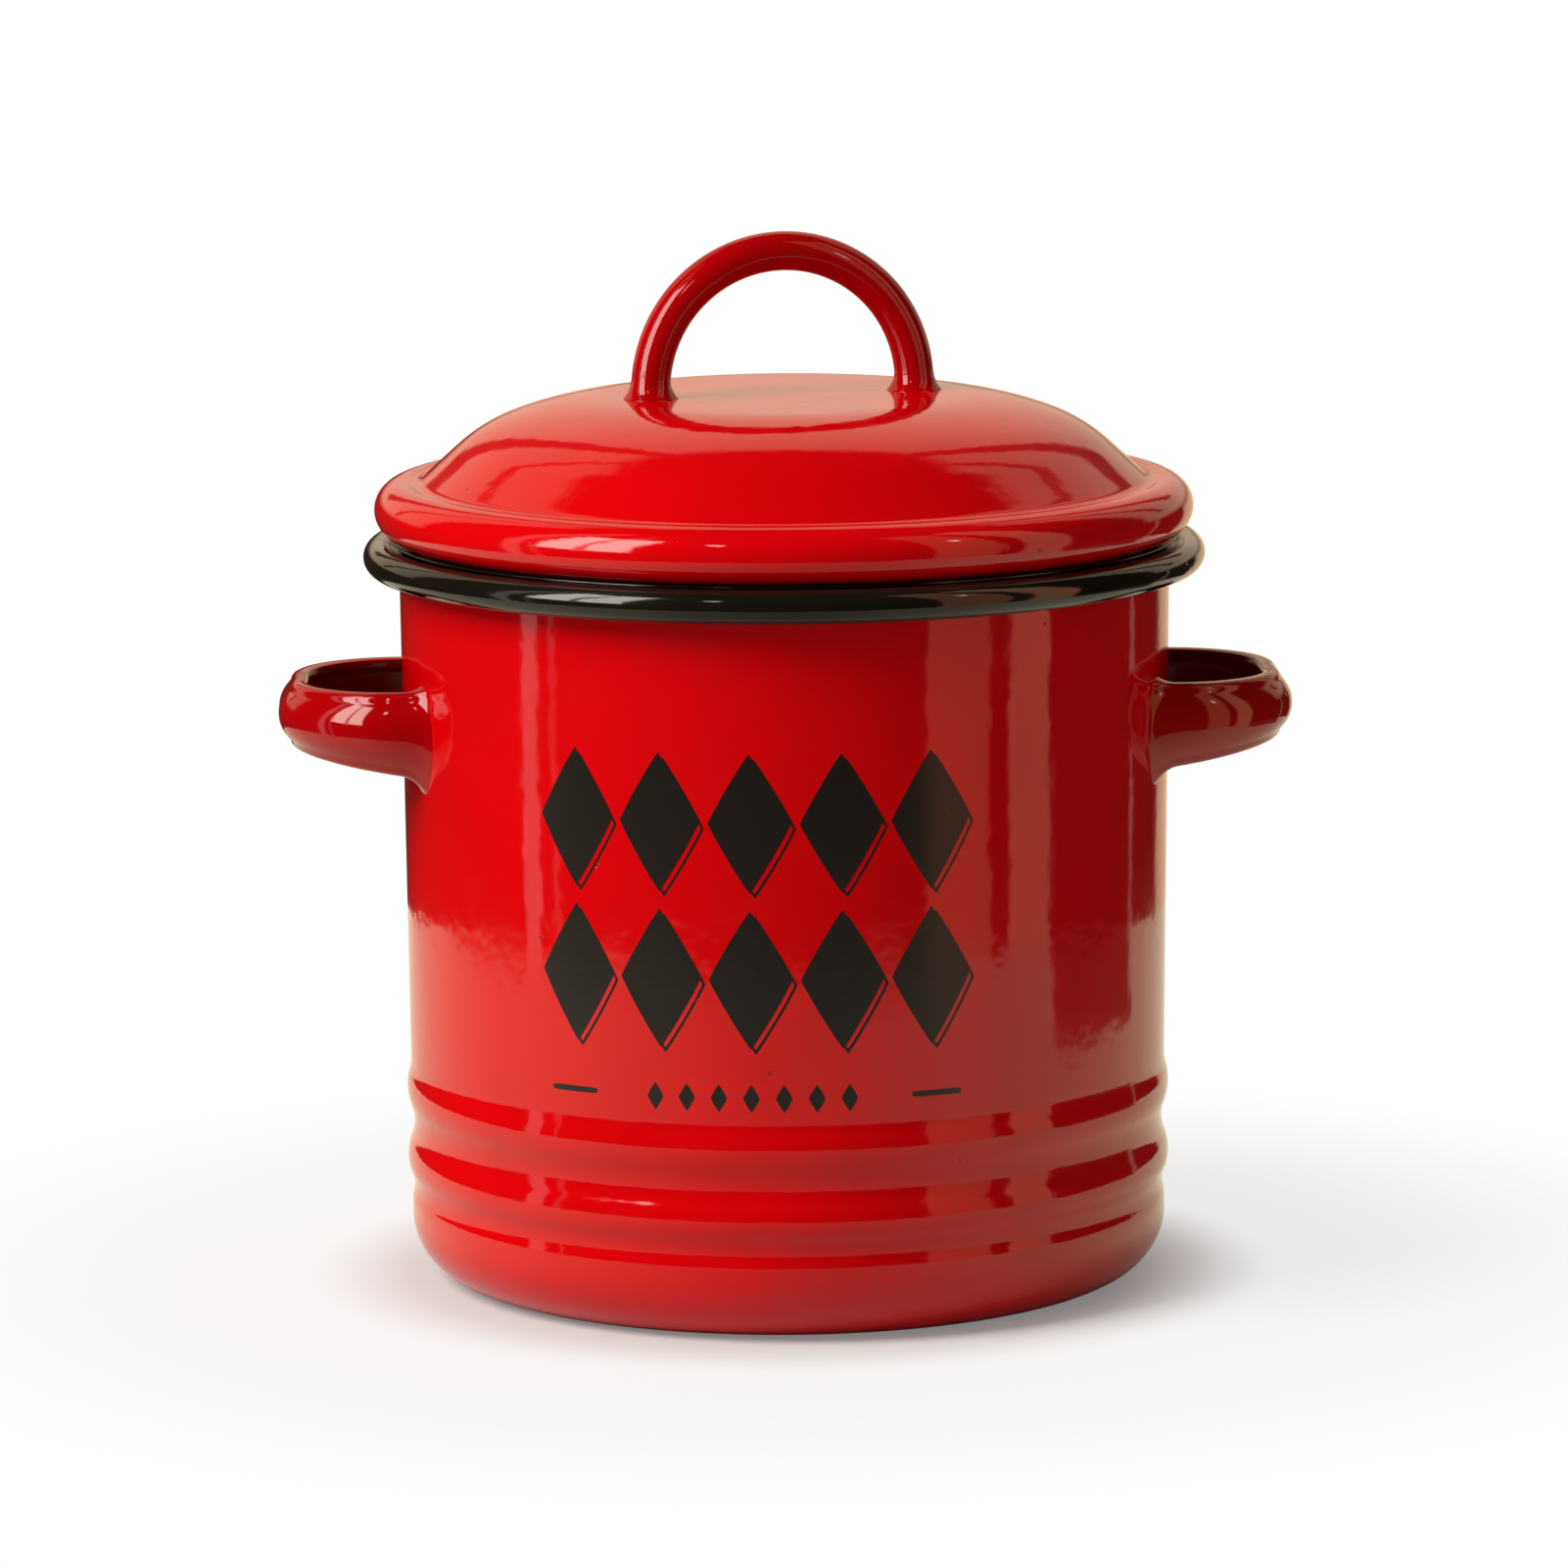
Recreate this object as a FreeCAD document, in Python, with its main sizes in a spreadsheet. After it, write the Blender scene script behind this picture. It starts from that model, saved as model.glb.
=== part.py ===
"""Grease keeper in enamelled steel: pot with two side straps, lid with an arch handle, drop-in strainer.

Frame: millimetres, +Z up, origin at the centre of the pot's flat base. The side handles lie on the
X axis and the front is -Y. Every sheet-metal shell is drawn as one skin line in the X-Z plane,
thickened by its sheet and turned about Z.
"""
import FreeCAD, Part
import math
import os

import Sketcher
from FreeCAD import Placement, Rotation, Vector

# Driving dimensions: name, value and meaning, in millimetres or degrees.
DIMENSIONS = [
    ("mouth_radius", 62.85, "outer radius of the wall where the lip starts"),
    ("wall_draft", 0.85, "how much narrower the wall is above its base corner"),
    ("pot_sheet", 1.0, "enamelled steel of the pot"),
    ("corner_radius", 10.3, "outer radius between base and wall"),
    ("rib_low", 19.7, "height of the lower rib's crest"),
    ("rib_pitch", 11.8, "distance between the two ribs' crests"),
    ("rib_run", 4.6, "height over which the outer flank of a rib dies into the wall"),
    ("rib_rise", 0.65, "how far a rib's crest stands out of the wall"),
    ("rib_valley", 0.45, "how far the groove between the ribs is sunk"),
    ("lip_height", 116.9, "height where the wall starts to sweep out into the lip"),
    ("lip_sweep", 4.1, "outside radius of the lip's first sweep"),
    ("lip_turn", 65.0, "angle of the lip's first sweep"),
    ("roll_radius", 1.75, "inside radius of the rolled rim"),
    ("roll_turn", 262.0, "angle through which the rim is rolled under"),
    ("lid_sheet", 1.0, "enamelled steel of the lid"),
    ("bead_inset", 0.65, "how far inside the mouth's radius the lid bead's centre runs"),
    ("bead_radius", 4.6, "outside radius of the lid's bead"),
    ("valley_radius", 2.5, "radius of the valley between bead and flank"),
    ("flank_angle", 42.0, "slope of the lid's flank"),
    ("haunch_radius", 26.0, "radius where the flank turns into the shoulder"),
    ("shoulder_inset", 17.4, "how far inside the bead's centre haunch and shoulder meet"),
    ("shoulder_radius", 52.0, "radius of the shoulder round the flat top"),
    ("shoulder_run", 17.8, "how far the shoulder reaches in plan, down to the flat top"),
    ("dome_rise", 18.2, "height of the flat top over the bead's centre"),
    ("skirt_gap", 1.45, "gap between the lid's skirt and the strainer's cup"),
    ("skirt_depth", 13.5, "how far the skirt reaches below the bead's centre"),
    ("skirt_bend", 1.2, "outside radius of the bend from bead to skirt"),
    ("lid_turn", 11.75, "how far the loose lid lies turned on the pot"),
    ("seat_gap", 0.3, "running gap between the lid's bead and the strainer's flange"),
    ("arch_half", 22.1, "half distance between the feet of the lid handle, centre lines"),
    ("arch_leg", 1.3, "straight foot of the lid handle before the arch"),
    ("rod_radius", 3.2, "radius of the lid handle's rod"),
    ("foot_radius", 4.4, "radius of the weld collar at the lid handle's feet"),
    ("foot_rise", 2.4, "height of that weld collar"),
    ("foot_tip", 2.8, "radius of the collar's tip, sunk in the rod"),
    ("strap_below", 17.4, "how far below the lip the side handles' level upper edge lies"),
    ("strap_drop", 14.2, "height of the strap beside the pot"),
    ("strap_nose", 11.4, "height of the strap at its outer end"),
    ("strap_sheet", 2.6, "thickness of the strap over its turned-in edges"),
    ("strap_half", 20.4, "half width of the side handle's D, mid-sheet"),
    ("strap_reach", 16.7, "how far the strap's mid-sheet stands out from the wall"),
    ("strap_corner", 15.0, "corner radius of the D, mid-sheet"),
    ("strap_crown", 2.2, "how far the strap's section bulges outwards"),
    ("strap_flare", 2.4, "how far the weld tips reach past the strap's edges"),
    ("flare_run", 3.6, "length over which the strap flares out to its weld tips"),
    ("strainer_gap", 0.25, "gap between the strainer's cup and the pot, at the cup's foot"),
    ("strainer_sheet", 0.5, "sheet of the strainer's frame"),
    ("flange_turn", 58.0, "angle of the strainer's flange over the lip"),
    ("strainer_depth", 14.0, "depth of the strainer's cup below the lip"),
    ("cup_bend", 2.0, "outside radius at the bottom of the strainer's cup"),
    ("ledge_width", 5.6, "width of the ledge that carries the net, with its bend"),
    ("net_wire", 0.8, "thickness of the net"),
    ("net_strand", 1.2, "width of one strand of the net"),
    ("net_edge", 0.2, "room between the net's edge and the cup's bend"),
    ("clamp_width", 3.0, "width of the ring that holds the net down"),
    ("clamp_sheet", 0.6, "thickness of that ring"),
]

# Sizes that follow from the driving ones: name, formula and meaning.
DERIVED = [
    ("base_radius", "mouth_radius - wall_draft", "outer radius of the wall above the base corner"),
    ("wall_foot", "rib_low + rib_pitch + rib_run", "height where the straight wall begins"),
    ("cup_floor", "lip_height - strainer_depth", "height of the underside of the strainer's cup"),
    ("cup_radius", "base_radius + wall_draft * (cup_floor - wall_foot) / (lip_height - wall_foot)"
     " - pot_sheet - strainer_gap", "outer radius of the cup, clear of the tapered wall at its floor"),
    ("flange_under", "mouth_radius + lip_sweep - cup_radius",
     "radius of the flange's underside round the lip's centre"),
    ("bead_centre", "mouth_radius - bead_inset", "radius of the circle through the bead's centre"),
    ("bead_height", "lip_height + sqrt((bead_radius + seat_gap + flange_under + strainer_sheet)^2"
     " - (lip_sweep + bead_inset)^2)", "height of the bead's centre when it lies on the flange"),
    ("shoulder_reach", "bead_centre - shoulder_inset", "radius where haunch and shoulder meet"),
    ("top_flat", "shoulder_reach - shoulder_run", "radius of the flat on top of the lid"),
    ("lid_top", "bead_height + dome_rise", "height of the lid's flat top"),
    ("skirt_radius", "cup_radius - strainer_sheet - skirt_gap", "outer radius of the lid's skirt"),
    ("strap_top", "lip_height - strap_below", "height of the side handles' level upper edge"),
    ("ledge_height", "cup_floor + strainer_sheet", "height of the ledge's face that carries the net"),
    ("ledge_opening", "cup_radius - ledge_width", "radius of the opening inside the ledge"),
    ("net_radius", "cup_radius - cup_bend - net_edge", "outer radius of the net and of its ring"),
]

# Gaps of the net across the ledge's opening.
NET_CELLS = 18

UP = Vector(0, 0, 1)
FACING_FRONT = Rotation(Vector(1, 0, 0), 90)


def make_sheet(doc):
    """Put all sizes into a spreadsheet, the derived ones as formulas, and return their values by name."""
    sheet = doc.addObject("Spreadsheet::Sheet", "Dims")
    sizes = [(name, str(value), meaning) for name, value, meaning in DIMENSIONS]
    sizes += [(name, "=" + formula, meaning) for name, formula, meaning in DERIVED]
    for row, (name, content, meaning) in enumerate(sizes, start=1):
        sheet.set("A%d" % row, name)
        sheet.set("B%d" % row, content)
        sheet.set("C%d" % row, meaning)
        sheet.setAlias("B%d" % row, name)
    doc.recompute()
    return {name: float(sheet.get(name)) for name, _content, _meaning in sizes}


def polar(centre, radius, degrees):
    """Point at an angle round a centre, all in the plane of a skin line."""
    angle = math.radians(degrees)
    return (centre[0] + radius * math.cos(angle), centre[1] + radius * math.sin(angle))


class SkinLine:
    """One open chain of lines and arcs, x = radius and y = height, kept as a constrained sketch."""

    def __init__(self, doc, name):
        self.sketch = doc.addObject("Sketcher::SketchObject", name)
        self.sketch.Placement = Placement(Vector(0, 0, 0), FACING_FRONT)
        self.tail = None

    def _join(self, geometry, start_pos, end_pos, smooth):
        index = self.sketch.addGeometry(geometry, False)
        if self.tail is not None:
            kind = "Tangent" if smooth else "Coincident"
            self.sketch.addConstraint(
                Sketcher.Constraint(kind, self.tail[0], self.tail[1], index, start_pos))
        self.tail = (index, end_pos)
        return index

    def line(self, start, end, smooth=False):
        """Straight piece from start to end."""
        return self._join(Part.LineSegment(Vector(*start, 0), Vector(*end, 0)), 1, 2, smooth)

    def arc(self, centre, radius, first, last, smooth=False):
        """Arc from angle first to angle last in degrees, in the sense of their order."""
        low, high = sorted((first, last))
        circle = Part.Circle(Vector(*centre, 0), UP, radius)
        piece = Part.ArcOfCircle(circle, math.radians(low), math.radians(high))
        forward = first < last
        return self._join(piece, 1 if forward else 2, 2 if forward else 1, smooth)

    def size(self, kind, *place):
        """Dimension at a place of the chain; the last item of place is its expression."""
        *where, value, expression = place
        index = self.sketch.addConstraint(Sketcher.Constraint(kind, *where, value))
        self.sketch.setExpression("Constraints[%d]" % index, expression)

    def across(self, geometry, position, value, expression):
        """Distance of a point from the axis."""
        self.size("DistanceX", -1, 1, geometry, position, value, expression)

    def height(self, geometry, position, value, expression):
        """Height of a point over the base plane."""
        self.size("DistanceY", -1, 1, geometry, position, value, expression)

    def radius(self, geometry, value, expression):
        """Radius of an arc."""
        self.size("Radius", geometry, value, expression)

    def span(self, geometry, degrees, expression):
        """Angle that an arc covers."""
        self.size("Angle", geometry, math.radians(degrees), expression + " * 1deg")

    def rule(self, kind, *place):
        """Constraint without a size."""
        self.sketch.addConstraint(Sketcher.Constraint(kind, *place))


def turned_sheet(doc, line, sheet_name, towards, label):
    """Thicken a skin line by a sheet on one side and turn it about Z: one closed shell of metal."""
    section = doc.addObject("Part::Offset2D", label + "_section")
    section.Source = line.sketch
    section.Mode = "Skin"
    section.Join = "Arc"
    section.Fill = True
    section.setExpression("Value", "%sDims.%s" % (towards, sheet_name))
    shell = doc.addObject("Part::Revolution", label)
    shell.Source = section
    shell.Axis = UP
    shell.Base = Vector(0, 0, 0)
    shell.Angle = 360
    shell.Solid = True
    shell.Label = label
    return shell


def lip_centre(d):
    """Centre of the lip's first sweep, which the strainer's flange and the lid's seat share."""
    return (d["mouth_radius"] + d["lip_sweep"], d["lip_height"])


def wall_radius(d, height):
    """Outer radius of the straight wall at a height."""
    share = (height - d["wall_foot"]) / (d["lip_height"] - d["wall_foot"])
    return d["base_radius"] + share * d["wall_draft"]


def add_wave(line, start, end, smooth):
    """Two equal arcs that lead from one upright tangent to the next; returns both indices."""
    run, step = end[1] - start[1], end[0] - start[0]
    radius = (run ** 2 + step ** 2) / (4 * abs(step))
    turn = math.degrees(math.asin(run / (2 * radius)))
    side = 1 if step > 0 else -1
    lower = (start[0] + side * radius, start[1])
    upper = (end[0] - side * radius, end[1])
    if side > 0:
        first = line.arc(lower, radius, 180, 180 - turn, smooth)
        second = line.arc(upper, radius, -turn, 0, True)
    else:
        first = line.arc(lower, radius, 0, turn, smooth)
        second = line.arc(upper, radius, 180 + turn, 180, True)
    return first, second


def pot_line(doc, d):
    """Outer skin of the pot: base, corner, two ribs, tapered wall, swept lip and rolled rim."""
    line = SkinLine(doc, "PotLine")
    base, corner = d["base_radius"], d["corner_radius"]
    floor = line.line((0, 0), (base - corner, 0))
    line.rule("Horizontal", floor)
    line.rule("Coincident", floor, 1, -1, 1)
    bend = line.arc((base - corner, corner), corner, -90, 0, True)
    line.radius(bend, corner, "Dims.corner_radius")
    line.across(bend, 2, base, "Dims.base_radius")
    line.rule("Horizontal", bend, 3, bend, 2)
    low, pitch, run = d["rib_low"], d["rib_pitch"], d["rib_run"]
    crest, valley = base + d["rib_rise"], base - d["rib_valley"]
    foot = line.line((base, corner), (base, low - run), True)
    line.height(foot, 2, low - run, "Dims.rib_low - Dims.rib_run")
    stations = [
        ((base, low - run), (crest, low), "Dims.base_radius + Dims.rib_rise", "Dims.rib_low"),
        ((crest, low), (valley, low + pitch / 2), "Dims.base_radius - Dims.rib_valley",
         "Dims.rib_low + Dims.rib_pitch / 2"),
        ((valley, low + pitch / 2), (crest, low + pitch), "Dims.base_radius + Dims.rib_rise",
         "Dims.rib_low + Dims.rib_pitch"),
        ((crest, low + pitch), (base, d["wall_foot"]), "Dims.base_radius", "Dims.wall_foot"),
    ]
    for start, end, across, height in stations:
        first, second = add_wave(line, start, end, True)
        position = line.tail[1]
        line.rule("Equal", first, second)
        line.across(second, position, end[0], across)
        line.height(second, position, end[1], height)
        line.rule("Horizontal", second, 3, second, position)
    top = (d["mouth_radius"], d["lip_height"])
    wall = line.line((base, d["wall_foot"]), top)
    line.across(wall, 2, top[0], "Dims.mouth_radius")
    line.height(wall, 2, top[1], "Dims.lip_height")
    centre = lip_centre(d)
    edge = 180 - d["lip_turn"]
    sweep = line.arc(centre, d["lip_sweep"], 180, edge)
    line.radius(sweep, d["lip_sweep"], "Dims.lip_sweep")
    line.rule("Horizontal", sweep, 3, sweep, 2)
    line.span(sweep, d["lip_turn"], "Dims.lip_turn")
    roll_centre = polar(polar(centre, d["lip_sweep"], edge), d["roll_radius"], edge - 180)
    roll = line.arc(roll_centre, d["roll_radius"], edge, edge - d["roll_turn"], True)
    line.radius(roll, d["roll_radius"], "Dims.roll_radius")
    line.span(roll, d["roll_turn"], "Dims.roll_turn")
    return line


def pot_shell(doc, d):
    """Drawn cup of one sheet, with its ribs and rolled rim."""
    return turned_sheet(doc, pot_line(doc, d), "pot_sheet", "", "pot_shell")


def lid_line(doc, d):
    """Outer skin of the lid, from the axis over flat, shoulder, flank, valley and bead to the skirt."""
    line = SkinLine(doc, "LidLine")
    top, flat = d["lid_top"], d["top_flat"]
    disc = line.line((0, top), (flat, top))
    line.rule("Horizontal", disc)
    line.across(disc, 2, flat, "Dims.top_flat")
    line.rule("PointOnObject", disc, 1, -2)
    shoulder_centre = (flat, top - d["shoulder_radius"])
    knee = math.degrees(math.acos((d["shoulder_reach"] - flat) / d["shoulder_radius"]))
    shoulder = line.arc(shoulder_centre, d["shoulder_radius"], 90, knee, True)
    line.radius(shoulder, d["shoulder_radius"], "Dims.shoulder_radius")
    line.across(shoulder, 1, d["shoulder_reach"], "Dims.shoulder_reach")
    steep = 90 - d["flank_angle"]
    knee_point = polar(shoulder_centre, d["shoulder_radius"], knee)
    haunch_centre = polar(knee_point, -d["haunch_radius"], knee)
    haunch = line.arc(haunch_centre, d["haunch_radius"], knee, steep, True)
    line.radius(haunch, d["haunch_radius"], "Dims.haunch_radius")
    start = polar(haunch_centre, d["haunch_radius"], steep)
    bead = (d["bead_centre"], d["bead_height"])
    along = Vector(math.sin(math.radians(steep)), -math.cos(math.radians(steep)), 0)
    outward = Vector(math.cos(math.radians(steep)), math.sin(math.radians(steep)), 0)
    gap = Vector(bead[0] - start[0], bead[1] - start[1], 0)
    lift = d["valley_radius"] - gap.dot(outward)
    reach = d["valley_radius"] + d["bead_radius"]
    run = gap.dot(along) - math.sqrt(reach ** 2 - lift ** 2)
    end = (start[0] + run * along.x, start[1] + run * along.y)
    flank = line.line(start, end, True)
    line.size("Angle", -1, 1, flank, 1, -math.radians(d["flank_angle"]), "-Dims.flank_angle * 1deg")
    valley_centre = polar(end, d["valley_radius"], steep)
    meet = math.degrees(math.atan2(valley_centre[1] - bead[1], valley_centre[0] - bead[0]))
    valley = line.arc(valley_centre, d["valley_radius"], steep + 180, meet + 180, True)
    line.radius(valley, d["valley_radius"], "Dims.valley_radius")
    ring = line.arc(bead, d["bead_radius"], meet, -90, True)
    line.radius(ring, d["bead_radius"], "Dims.bead_radius")
    line.across(ring, 3, bead[0], "Dims.bead_centre")
    line.height(ring, 3, bead[1], "Dims.bead_height")
    line.size("DistanceY", ring, 3, disc, 2, d["dome_rise"], "Dims.dome_rise")
    under = bead[1] - d["bead_radius"]
    bend_centre = (d["skirt_radius"] + d["skirt_bend"], under - d["skirt_bend"])
    web = line.line((bead[0], under), (bend_centre[0], under), True)
    line.rule("Horizontal", web)
    bend = line.arc(bend_centre, d["skirt_bend"], 90, 180, True)
    line.radius(bend, d["skirt_bend"], "Dims.skirt_bend")
    hem = bead[1] - d["skirt_depth"]
    skirt = line.line((d["skirt_radius"], bend_centre[1]), (d["skirt_radius"], hem), True)
    line.rule("Vertical", skirt)
    line.across(skirt, 2, d["skirt_radius"], "Dims.skirt_radius")
    line.size("DistanceY", skirt, 2, ring, 3, d["skirt_depth"], "Dims.skirt_depth")
    return line


def lid_shell(doc, d):
    """Pressed lid of one sheet: flat top, shoulder, flank, bead and the skirt inside the mouth."""
    shell = turned_sheet(doc, lid_line(doc, d), "lid_sheet", "-", "lid_shell")
    shell.setExpression(".Placement.Rotation.Angle", "Dims.lid_turn")
    return shell


def lid_handle(doc, d):
    """Bent rod: two short legs and a half circle, with a weld collar at each foot."""
    body = doc.addObject("PartDesign::Body", "lid_handle")
    body.Label = "lid_handle"
    planes = {item.Role: item for item in body.Origin.OriginFeatures}
    path = body.newObject("Sketcher::SketchObject", "ArchPath")
    path.AttachmentSupport = (planes["XZ_Plane"], "")
    path.MapMode = "FlatFace"
    half, leg = d["arch_half"], d["arch_leg"]
    left = path.addGeometry(Part.LineSegment(Vector(-half, 0, 0), Vector(-half, leg, 0)), False)
    circle = Part.Circle(Vector(0, leg, 0), UP, half)
    bow = path.addGeometry(Part.ArcOfCircle(circle, 0, math.pi), False)
    right = path.addGeometry(Part.LineSegment(Vector(half, leg, 0), Vector(half, 0, 0)), False)
    for rule in (("Tangent", left, 2, bow, 2), ("Tangent", bow, 1, right, 1), ("Vertical", left),
                 ("PointOnObject", left, 1, -1), ("PointOnObject", right, 2, -1),
                 ("PointOnObject", bow, 3, -2), ("Vertical", right)):
        path.addConstraint(Sketcher.Constraint(*rule))
    radius = path.addConstraint(Sketcher.Constraint("Radius", bow, half))
    path.setExpression("Constraints[%d]" % radius, "Dims.arch_half")
    length = path.addConstraint(Sketcher.Constraint("DistanceY", left, 1, left, 2, leg))
    path.setExpression("Constraints[%d]" % length, "Dims.arch_leg")
    section = body.newObject("Sketcher::SketchObject", "RodSection")
    section.AttachmentSupport = (planes["XY_Plane"], "")
    section.MapMode = "FlatFace"
    rod = section.addGeometry(Part.Circle(Vector(-half, 0, 0), UP, d["rod_radius"]), False)
    radius = section.addConstraint(Sketcher.Constraint("Radius", rod, d["rod_radius"]))
    section.setExpression("Constraints[%d]" % radius, "Dims.rod_radius")
    place = section.addConstraint(Sketcher.Constraint("DistanceX", rod, 3, -1, 1, half))
    section.setExpression("Constraints[%d]" % place, "Dims.arch_half")
    section.addConstraint(Sketcher.Constraint("PointOnObject", rod, 3, -1))
    arch = body.newObject("PartDesign::AdditivePipe", "Arch")
    arch.Profile = section
    arch.Spine = path
    doc.recompute()
    for name, side in (("FootLeft", "-"), ("FootRight", "")):
        foot = body.newObject("PartDesign::AdditiveCone", name)
        foot.setExpression("Radius1", "Dims.foot_radius")
        foot.setExpression("Radius2", "Dims.foot_tip")
        foot.setExpression("Height", "Dims.foot_rise")
        foot.AttachmentSupport = (planes["XY_Plane"], "")
        foot.MapMode = "FlatFace"
        foot.setExpression(".AttachmentOffset.Base.x", side + "Dims.arch_half")
        doc.recompute()
    body.Placement = Placement(Vector(0, 0, d["lid_top"]), Rotation(UP, d["lid_turn"]))
    return body


def strap_station(d, place, outward, low, high):
    """Crescent section of the strap, upright at a place and bulging along outward."""
    crown, half = d["strap_crown"], d["strap_sheet"] / 2
    middle = (low + high) / 2
    faces = []
    for side in (half, -half):
        ends = [place + outward * side + UP * level for level in (low, high)]
        faces.append((ends[0], place + outward * (side + crown) + UP * middle, ends[1]))
    outer, inner = faces
    top = (outer[2] + inner[2]) / 2 + UP * half
    foot = (outer[0] + inner[0]) / 2 - UP * half
    edges = [Part.Arc(*outer).toShape(), Part.Arc(outer[2], top, inner[2]).toShape(),
             Part.Arc(inner[2], inner[1], inner[0]).toShape(), Part.Arc(inner[0], foot, outer[0]).toShape()]
    return Part.Wire(edges)


def strap_route(d):
    """Stations along half of the D in plan: place, outward direction and distance from the wall."""
    half, corner = d["strap_half"], d["strap_corner"]
    middle = d["strap_top"] - d["strap_drop"] / 2
    nose = wall_radius(d, middle) + d["strap_reach"]
    wall = math.sqrt(wall_radius(d, middle) ** 2 - half ** 2)
    buried = 2 * d["pot_sheet"]
    turn = Vector(nose - corner, half - corner, 0)
    route = [(Vector(wall + step, half, 0), Vector(0, 1, 0))
             for step in (-buried, 0, d["flare_run"] / 3, d["flare_run"])]
    for degrees in (90, 67.5, 45, 22.5, 0):
        outward = Vector(math.cos(math.radians(degrees)), math.sin(math.radians(degrees)), 0)
        route.append((turn + outward * corner, outward))
    route.append((Vector(nose, 0, 0), Vector(1, 0, 0)))
    return [(place, outward, max(place.x - wall, 0)) for place, outward in route]


def strap_edges(d, distance, reach):
    """Lower and upper edge of the strap at a distance from the wall."""
    cap = d["strap_sheet"] / 2
    share = distance / reach
    flare = d["strap_flare"] * max(0, 1 - distance / d["flare_run"]) ** 2
    height = d["strap_drop"] + share * (d["strap_nose"] - d["strap_drop"])
    return d["strap_top"] - height - flare + cap, d["strap_top"] + 0.4 * flare - cap


def side_handle(doc, d, label, degrees):
    """Crowned strap bent into a D, flared at its two welds and trimmed to the pot's wall."""
    route = strap_route(d)
    reach = route[-1][2]
    sections = []
    for mirror, stations in ((-1, route), (1, route[-2::-1])):
        for place, outward, distance in stations:
            low, high = strap_edges(d, distance, reach)
            sections.append(strap_station(d, Vector(place.x, mirror * place.y, 0),
                                          Vector(outward.x, mirror * outward.y, 0), low, high))
    strap = Part.makeLoft(sections, True, False, False)
    foot, top = d["wall_foot"], d["lip_height"]
    wall = Part.makeCone(wall_radius(d, foot), wall_radius(d, top), top - foot, Vector(0, 0, foot))
    handle = doc.addObject("Part::Feature", label)
    handle.Label = label
    handle.Shape = strap.cut(wall)
    handle.Placement = Placement(Vector(0, 0, 0), Rotation(UP, degrees))
    return handle


def strainer_frame(doc, d):
    """Cup ring of one sheet: flange over the lip, wall, and a ledge for the net."""
    line = SkinLine(doc, "StrainerLine")
    centre, cup, bend = lip_centre(d), d["cup_radius"], d["cup_bend"]
    floor = d["cup_floor"]
    ledge = line.line((d["ledge_opening"], floor), (cup - bend, floor))
    line.rule("Horizontal", ledge)
    line.across(ledge, 1, d["ledge_opening"], "Dims.ledge_opening")
    corner = line.arc((cup - bend, floor + bend), bend, -90, 0, True)
    line.radius(corner, bend, "Dims.cup_bend")
    line.size("DistanceY", ledge, 1, -1, 1, -floor, "-Dims.cup_floor")
    wall = line.line((cup, floor + bend), (cup, d["lip_height"]), True)
    line.rule("Vertical", wall)
    line.across(wall, 2, cup, "Dims.cup_radius")
    line.height(wall, 2, d["lip_height"], "Dims.lip_height")
    flange = line.arc(centre, d["flange_under"], 180, 180 - d["flange_turn"], True)
    line.radius(flange, d["flange_under"], "Dims.flange_under")
    line.span(flange, d["flange_turn"], "Dims.flange_turn")
    return turned_sheet(doc, line, "strainer_sheet", "", "strainer_frame")


def strainer_mesh(doc, d):
    """Flat net: one round face with the gaps of a square grid that fits the ledge's opening."""
    height, opening = d["ledge_height"], d["ledge_opening"]
    pitch = 2 * opening / NET_CELLS
    half_gap = (pitch - d["net_strand"]) / 2
    holes = []
    for column in range(NET_CELLS):
        for row in range(NET_CELLS):
            x, y = (column + 0.5) * pitch - opening, (row + 0.5) * pitch - opening
            if math.hypot(abs(x) + half_gap, abs(y) + half_gap) < opening:
                corners = [Vector(x + side * half_gap, y + up * half_gap, height)
                           for side, up in ((-1, -1), (1, -1), (1, 1), (-1, 1), (-1, -1))]
                holes.append(Part.makePolygon(corners))
    rim = Part.Wire(Part.makeCircle(d["net_radius"], Vector(0, 0, height)))
    net = doc.addObject("Part::Feature", "strainer_mesh")
    net.Label = "strainer_mesh"
    face = Part.makeFace([rim] + holes, "Part::FaceMakerCheese")
    net.Shape = face.extrude(UP * d["net_wire"])
    return net


def clamp_ring(doc, d):
    """Flat ring spot-welded over the net's edge: a disc with its middle bored out."""
    disc = doc.addObject("Part::Cylinder", "ClampDisc")
    bore = doc.addObject("Part::Cylinder", "ClampBore")
    for tool in (disc, bore):
        tool.setExpression("Height", "Dims.clamp_sheet")
    disc.setExpression("Radius", "Dims.net_radius")
    bore.setExpression("Radius", "Dims.net_radius - Dims.clamp_width")
    ring = doc.addObject("Part::Cut", "strainer_clamp_ring")
    ring.Base, ring.Tool = disc, bore
    ring.Label = "strainer_clamp_ring"
    ring.Placement = Placement(Vector(0, 0, d["ledge_height"] + d["net_wire"]), Rotation())
    return ring


def check(doc, parts):
    """Stop if any object failed, or a sub-part is empty, invalid or not one solid."""
    for item in doc.Objects:
        if {"Invalid", "Error"} & set(item.State):
            raise RuntimeError("%s failed: %s" % (item.Name, item.State))
    for part in parts:
        shape = part.Shape
        if shape.isNull() or not shape.isValid() or len(shape.Solids) != 1:
            raise RuntimeError("%s has no single valid solid" % part.Label)


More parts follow.
